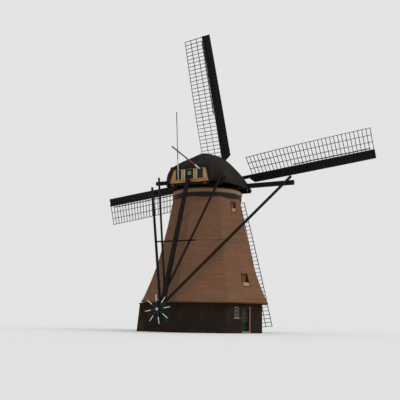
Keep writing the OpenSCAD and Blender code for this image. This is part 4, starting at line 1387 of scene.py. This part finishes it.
@dataclass
class Entrance:
    """Door, window, threshold and annexe in the brick base."""

    out: float = 4.84
    window_x: float = -0.83
    # Width, height and foot of the window
    window: Spot = (0.58, 0.89, 1.22)
    door_x: float = 0.2
    leaf: tuple[float, float] = (0.764, 1.834)
    leaf_foot: float = 0.158
    leaf_out: float = 4.635
    boards: int = 5
    # Height of the boards' middle and their length as shares of the leaf's height, and their gap
    board_middle: float = 0.23
    board_length: float = 0.42
    board_gap: float = 0.008
    # Share of the leaf's height at which its light starts, and what stays over the light
    light_foot: float = 0.46
    light_top: float = 0.09
    bar: float = 0.03
    sash: float = 0.045
    # Size of the post and its place from the door's middle, out and up
    post: Spot = (0.09, 0.05, 2.02)
    post_place: Spot = (0.39, 0.026, 1.16)
    # Depth and height of the window's ledge and how far it passes the window
    ledge: Spot = (0.14, 0.06, 0.12)
    dressing: tuple[tuple[Finish, tuple[str, ...]], ...] = (
        (BRICK, ("base_walls_odd", "base_walls_even", "wall_left_of_door", "wall_right_of_door",
                 "wall_over_door")),
        (ANNEXE_BRICK, ("annexe",)), (STONE, ("threshold", "floor_slab")), (DARK_BROWN, ("door_frame",)),
        (GREEN, ("door_leaf",)), (GLASS, ("door_glass", "base_window_glass")), (CREAM, ("base_window",)),
        (COPING, ("annexe_coping",)))

    def place(self, across: float, out: float, height: float) -> Matrix:
        """Returns the place of a piece on the door's side."""
        return Matrix.Translation(side_point(DOOR_AZIMUTH, across, out, height)) @ Matrix.Rotation(
            DOOR_AZIMUTH, 4, "Z")

    def build(self) -> None:
        """Dresses the base and adds bars, post, ledge and door boards."""
        for finish, nodes in self.dressing:
            dress(finish, *nodes)
        x, out, z = self.post_place
        set_blocks("door_post", OCHRE, Body.MILL, "ochre_paint", 0.008,
                   [(self.post, self.place(self.door_x + x, self.out + out, z))])
        self.dress_window()
        self.dress_leaf()

    def dress_window(self) -> None:
        """Adds the window's bars and its ledge."""
        width, height, foot = self.window
        x, out, bar = self.window_x, self.out - 0.1, self.bar
        set_blocks("window_bars", CREAM, Body.MILL, "white_paint", 0.004, [
            ((bar, 0.04, height - 0.12), self.place(x, out, foot + height / 2)),
            *(((width - 0.12, 0.04, bar), self.place(x, out, foot + height * share)) for share in THIRDS)])
        depth, thick, past = self.ledge
        set_blocks("window_ledge", STONE, Body.MILL, "stone", 0.006,
                   [((width + past, depth, thick), self.place(x, self.out, foot - thick / 2))])

    def dress_leaf(self) -> None:
        """Adds the bars and the boards of the door leaf."""
        (width, height), foot, bar, sash = self.leaf, self.leaf_foot, self.bar, self.sash
        x, out = self.door_x, self.leaf_out + 0.002
        low, high = foot + height * self.light_foot, foot + height - self.light_top
        tall, middle = high - low, (low + high) / 2
        set_blocks("door_bars", SAGE, Body.DOOR, "white_paint", 0.003, [
            ((bar, bar, tall), self.place(x, out, middle)),
            *(((width - 0.18, bar, bar), self.place(x, out, low + tall * share)) for share in THIRDS),
            *(((width - 0.16, bar, sash), self.place(x, out, z)) for z in (low - 0.02, high + 0.02)),
            *(((sash, bar, tall + 0.08), self.place(x + side * (width / 2 - 0.09), out, middle))
              for side in (-1, 1))])
        pitch, out, z = width / self.boards, self.leaf_out + 0.004, foot + height * self.board_middle
        set_blocks("door_boards", TEAL, Body.DOOR, "green_paint", 0.003, [
            ((pitch - self.board_gap, 0.012, height * self.board_length),
             self.place(x + (i - (self.boards - 1) / 2) * pitch, out, z)) for i in range(self.boards)])


@dataclass
class Hatches:
    """The two hatches over the door's side."""

    thatch: BodyThatch
    board: float = 0.06
    # How far the leaves lie behind the coat, and the levels of their battens over each hatch's middle
    # as shares of its height
    behind: float = 0.07
    levels: tuple[float, float] = (-0.26, 0.28)

    def build(self) -> None:
        """Dresses frames, leaves and sills and adds battens and hinges."""
        dress(DARK_BROWN, "hatch_frames")
        dress(HATCH, "hatch_leaves")
        dress(BARE, "hatch_sills")
        turn = Matrix.Rotation(DOOR_AZIMUTH, 4, "Z")
        battens, hinges = [], []
        for width, height, z in self.thatch.hatches:
            out = self.thatch.reach(z + height / 2) - self.behind
            leaf = width - 2 * self.board
            for level in (z + height * share for share in self.levels):
                for blocks, size, shift, lift in (
                        (battens, (leaf - 0.04, 0.02, 0.1), 0.0, 0.01),
                        (hinges, (leaf * 0.6, 0.006, 0.035), leaf * 0.2, 0.023)):
                    place = side_point(DOOR_AZIMUTH, self.thatch.hatch_across - shift, out + lift, level)
                    blocks.append((size, Matrix.Translation(place) @ turn))
        set_blocks("hatch_battens", HATCH, Body.MILL, "ochre_paint", 0.004, battens)
        set_blocks("hatch_hinges", IRON, Body.MILL, "iron", 0.002, hinges)


@dataclass
class CapTimbers:
    """Rings and timbers under the cap's thatch."""

    def build(self) -> None:
        """Dresses band, ring and beams."""
        dress(TARRED_BAND_WITH_PAINTED_SHADE, "dark_band")
        dress(RING_WITH_PAINTED_LIGHT, "pale_ring")
        dress(CAP_OAK, "cap_ring", "side_beams", "cross_beams", "shaft_beams")
        dress(GREEN, "front_boards")


@dataclass
class Sails:
    """Stocks, lattices, boards and rolled cloths."""

    turn: float = math.radians(6.4)
    tilt: float = math.radians(10.0)
    gap: float = 0.3
    root: float = 2.35
    tip: float = 14.0
    twist_root: float = math.radians(28)
    # Half width of a stock near the poll end, what it loses up to its tip and where its taper starts
    stock_root: float = 0.16
    stock_loss: float = 0.07
    stock_from: float = 0.6
    lattices: tuple[str, ...] = ("lattice_up", "lattice_right", "lattice_down", "lattice_left")
    roll_start: float = 6.5
    roll_end: float = 13.6
    roll_radius: float = 0.06
    roll_core: float = 0.018
    roll_turns: int = 8
    roll_sides: int = 14
    roll_steps: int = 60
    rung_front: float = 0.025
    # Gaps between the roll and the rungs and between the roll and the stock
    roll_gap: float = 0.004
    stock_gap: float = 0.07
    tie_pitch: float = 0.74
    tie_radius: float = 0.063
    rope_radius: float = 0.009
    # Width and length of each cloth before it was rolled
    cloth_size: tuple[float, float] = (1.8, 7.1)
    strip_start: float = 2.0
    strip_steps: int = 40
    strip_faces: tuple[float, float] = (0.053, 0.067)
    # Reach of the poll end's bolts across and forward, and their washers
    bolt_reach: tuple[float, float] = (0.22, 0.58)
    washer: float = 0.12

    def __post_init__(self) -> None:
        """Finds the poll end in the frame."""
        joint = next(j for j in FRAME["record"]["behaviour"]["joints"] if j["name"] == "sail_turn")
        self.hub = Vector(joint["pos_m"])
        self.shaft = Matrix.Translation(self.hub) @ Matrix.Rotation(self.tilt, 4, "X")

    def sail_matrix(self, sail: int) -> Matrix:
        """Finds the place of a sail.

        Args:
            sail: Its number.

        Returns:
            Its place, with +Z along its stock, +X ahead and +Y to the front.
        """
        front = -self.gap if sail % 2 == 0 else self.gap
        return (self.shaft @ Matrix.Translation((0, front, 0))
                @ Matrix.Rotation(math.pi / 2 * sail - self.turn, 4, "Y"))

    def twist(self, run: float) -> float:
        """Returns the turn of the rungs at a distance along the sail."""
        return self.twist_root * (self.tip - run) / (self.tip - self.root)

    def stock_half(self, run: float) -> float:
        """Returns half the width of the stock at a distance along it."""
        return self.stock_root - self.stock_loss * (run - self.stock_from) / (self.tip - self.stock_from)

    def point(self, run: float, across: float, front: float) -> Vector:
        """Returns a point of a sail at a distance along it, turned with its twist."""
        c, s = math.cos(self.twist(run)), math.sin(self.twist(run))
        return Vector((across * c - front * s, across * s + front * c, run))

    def cloth(self, sail: int) -> list[Vector]:
        """Rolls one sailcloth up beside its stock.

        Args:
            sail: Number of the sail.

        Returns:
            The middle of the roll.
        """
        place = self.sail_matrix(sail)
        roll = Shape(f"rolled_cloth_{sail + 1}")
        rows, uvs, path = [], [], []
        front = self.rung_front + self.roll_radius + self.roll_gap
        count = self.roll_turns * self.roll_sides
        for i in range(self.roll_steps + 1):
            run = self.roll_start + (self.roll_end - self.roll_start) * i / self.roll_steps
            wander = 0.008 * math.sin(run * 2.7 + sail)
            across = wander - self.stock_half(run) - self.roll_radius - self.stock_gap
            # Folds make the roll thicker and thinner along its length
            tight = 0.86 + 0.09 * math.sin(i * 1.05) + 0.05 * math.sin(i * 2.3)
            row = []
            for k in range(count + 1):
                angle = 2 * math.pi * k / self.roll_sides
                radius = tight * (self.roll_core + (self.roll_radius - self.roll_core) * k / count)
                row.append(place @ self.point(run, across + radius * math.cos(angle),
                                              front + radius * math.sin(angle)))
            rows.append(row)
            uvs.append([(k / count * self.cloth_size[0], run) for k in range(count + 1)])
            path.append(place @ self.point(run, across, front))
        roll.grid(rows, uvs, closed=False)
        piece = carry(roll.finish(CANVAS, smooth=True), Body.SAILS, "canvas",
                      *(["rolled_sails"] if sail == 0 else []))
        return path

    def ties(self, sail: int, path: list[Vector]) -> None:
        """Ties a rolled cloth.

        Args:
            sail: Number of the sail.
            path: The middle of the roll.
        """
        ring = Shape("tie")
        spots = [Vector((math.cos(a), math.sin(a), 0)) * self.tie_radius
                 for a in (math.pi * i / 6 for i in range(13))]
        for pair in zip(spots, spots[1:]):
            ring.tube(pair, lambda i: self.rope_radius, 5)
        guide = guide_path(f"cloth_ties_{sail + 1}", path, False)
        carry(ALONG.run(guide, ring, ROPE, spacing=self.tie_pitch, seed=sail + 2), Body.SAILS, "canvas")

    def fillets(self) -> None:
        """Closes the joint between each stock and its leading boards with a tarred strip."""
        strips, (rear, face) = Shape("board_fillets"), self.strip_faces
        for sail in range(4):
            place = self.sail_matrix(sail)
            rows = []
            for i in range(self.strip_steps + 1):
                run = self.strip_start + (self.tip - 0.02 - self.strip_start) * i / self.strip_steps
                half, twist = self.stock_half(run), self.twist(run)
                inner, outer = half - 0.03, (half + 0.01 + 0.051 * math.sin(twist)) / math.cos(twist) + 0.04
                rows.append([place @ self.point(run, across, front) for across, front in (
                    (inner, rear), (outer, rear), (outer, face), (inner, face))])
            strips.grid(rows, [[(0.1 * k, 0.3 * i) for k in range(5)] for i in range(len(rows))], ends=True)
        carry(strips.finish(LEADING), Body.SAILS, "tarred_timber")

    def build(self) -> None:
        """Dresses the sails and adds cloths, strips and bolts."""
        dress(STOCK, "outer_stock", "inner_stock")
        dress(LATTICE, *self.lattices)
        dress(LEADING, "leading_boards")
        dress(IRON, "poll_end", "windshaft")
        paths = [self.cloth(sail) for sail in range(4)]
        for sail, path in enumerate(paths):
            self.ties(sail, path)
        self.fillets()
        across, ahead = self.bolt_reach
        spots = [(self.shaft @ Vector((x, ahead * way, z)), self.shaft.to_3x3() @ Vector((0, way, 0)))
                 for x in (-across, across) for z in (-across, across) for way in (-1, 1)]
        set_bolts("poll_bolts", spots, self.washer, Body.SAILS)


@dataclass(frozen=True)
class Viewpoint:
    """The photograph's viewpoint, in metres and degrees, worked out from the mill's lines."""

    azimuth: float = 27.76
    distance: float = 64.1
    height: float = 1.0
    focal: float = 731.3
    aside: float = 0.59
    upward: float = 9.34
    roll: float = 0.83
    sensor: float = 36.0
    image: float = 400.0

    def build(self) -> None:
        """Makes the camera."""
        azimuth, yaw = math.radians(self.azimuth), math.radians(self.azimuth + self.aside)
        place = Vector((self.distance * math.sin(azimuth), -self.distance * math.cos(azimuth), self.height))
        right = Vector((math.cos(yaw), math.sin(yaw), 0))
        pitch, roll = math.radians(self.upward), math.radians(self.roll)
        ahead = Vector((-math.sin(yaw), math.cos(yaw), 0)) * math.cos(pitch) + Vector((0, 0, math.sin(pitch)))
        up = right.cross(ahead)
        x_axis = right * math.cos(roll) + up * math.sin(roll)
        y_axis = up * math.cos(roll) - right * math.sin(roll)
        lens = bpy.data.cameras.new("Camera")
        lens.lens = self.focal / self.image * self.sensor
        lens.sensor_width = self.sensor
        lens.clip_end = 1000
        camera = bpy.data.objects.new("Camera", lens)
        turn = Matrix((x_axis, y_axis, -ahead)).transposed().to_4x4()
        camera.matrix_world = Matrix.Translation(place) @ turn
        bpy.context.scene.collection.objects.link(camera)
        bpy.context.scene.camera = camera


@dataclass
class Studio:
    """Pale floor and soft light."""

    floor: str = "#d9d9d4"
    sky: str = "#e3e4e3"
    light: str = "#f2f4f7"
    floor_roughness: float = 0.9
    fill: float = 0.88
    key: float = 1.35
    softness: float = math.radians(40)
    azimuth: float = math.radians(-10)
    reach: float = 400.0

    def build(self) -> None:
        """Makes the floor, the sky and the key light."""
        scene = bpy.context.scene
        scene.view_settings.view_transform = "Standard"
        world = bpy.data.worlds.new("Studio")
        world.use_nodes = True
        tree = world.node_tree
        tree.nodes.clear()
        seen = None
        rays = add_node(tree, "ShaderNodeLightPath").outputs
        for ray in ("Is Glossy Ray", "Is Transmission Ray"):
            seen = add_node(tree, "ShaderNodeMath", {0: seen or rays["Is Camera Ray"], 1: rays[ray]},
                            operation="MAXIMUM").outputs[0]
        lit = add_node(tree, "ShaderNodeBackground", {"Color": self.light, "Strength": self.fill})
        shown = add_node(tree, "ShaderNodeBackground", {"Color": self.sky, "Strength": 1.0})
        mixed = add_node(tree, "ShaderNodeMixShader", {0: seen, 1: lit.outputs[0], 2: shown.outputs[0]})
        add_node(tree, "ShaderNodeOutputWorld", {0: mixed.outputs[0]})
        scene.world = world
        data = bpy.data.meshes.new("Floor")
        corners = [(x * self.reach, y * self.reach, 0) for x, y in ((-1, -1), (1, -1), (1, 1), (-1, 1))]
        data.from_pydata(corners, [], [(0, 1, 2, 3)])
        floor = bpy.data.objects.new("Floor", data)
        paint = bpy.data.materials.new("Pale floor")
        paint.use_nodes = True
        shader = paint.node_tree.nodes["Principled BSDF"]
        shader.inputs["Base Color"].default_value = linear(self.floor)
        shader.inputs["Roughness"].default_value = self.floor_roughness
        data.materials.append(paint)
        scene.collection.objects.link(floor)
        lamp = bpy.data.lights.new("Key", "SUN")
        lamp.energy, lamp.angle = self.key, self.softness
        sun = bpy.data.objects.new("Key", lamp)
        toward = Vector((math.cos(self.azimuth), math.sin(self.azimuth), 1.0))
        sun.rotation_euler = toward.to_track_quat("Z", "Y").to_euler()
        scene.collection.objects.link(sun)


def main() -> None:
    """Builds the scene round the frame."""
    logging.basicConfig(level=logging.INFO, format="%(name)s: %(message)s")
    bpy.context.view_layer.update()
    Viewpoint().build()
    Studio().build()
    thatch = BodyThatch()
    for assembly in (thatch, CapThatch(), Gable(), Flagpoles(), Tail(), Winch(), Entrance(), Hatches(thatch),
                     CapTimbers(), Sails()):
        assembly.build()
        LOG.info("%s done", type(assembly).__name__)


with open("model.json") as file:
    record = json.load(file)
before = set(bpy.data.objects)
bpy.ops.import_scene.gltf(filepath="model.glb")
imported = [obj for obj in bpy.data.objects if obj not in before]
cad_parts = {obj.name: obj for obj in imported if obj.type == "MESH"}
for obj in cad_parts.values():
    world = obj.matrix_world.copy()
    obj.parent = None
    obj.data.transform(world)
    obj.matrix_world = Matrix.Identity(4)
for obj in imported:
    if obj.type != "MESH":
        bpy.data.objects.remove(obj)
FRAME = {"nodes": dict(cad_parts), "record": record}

if __name__ == "__main__":
    main()
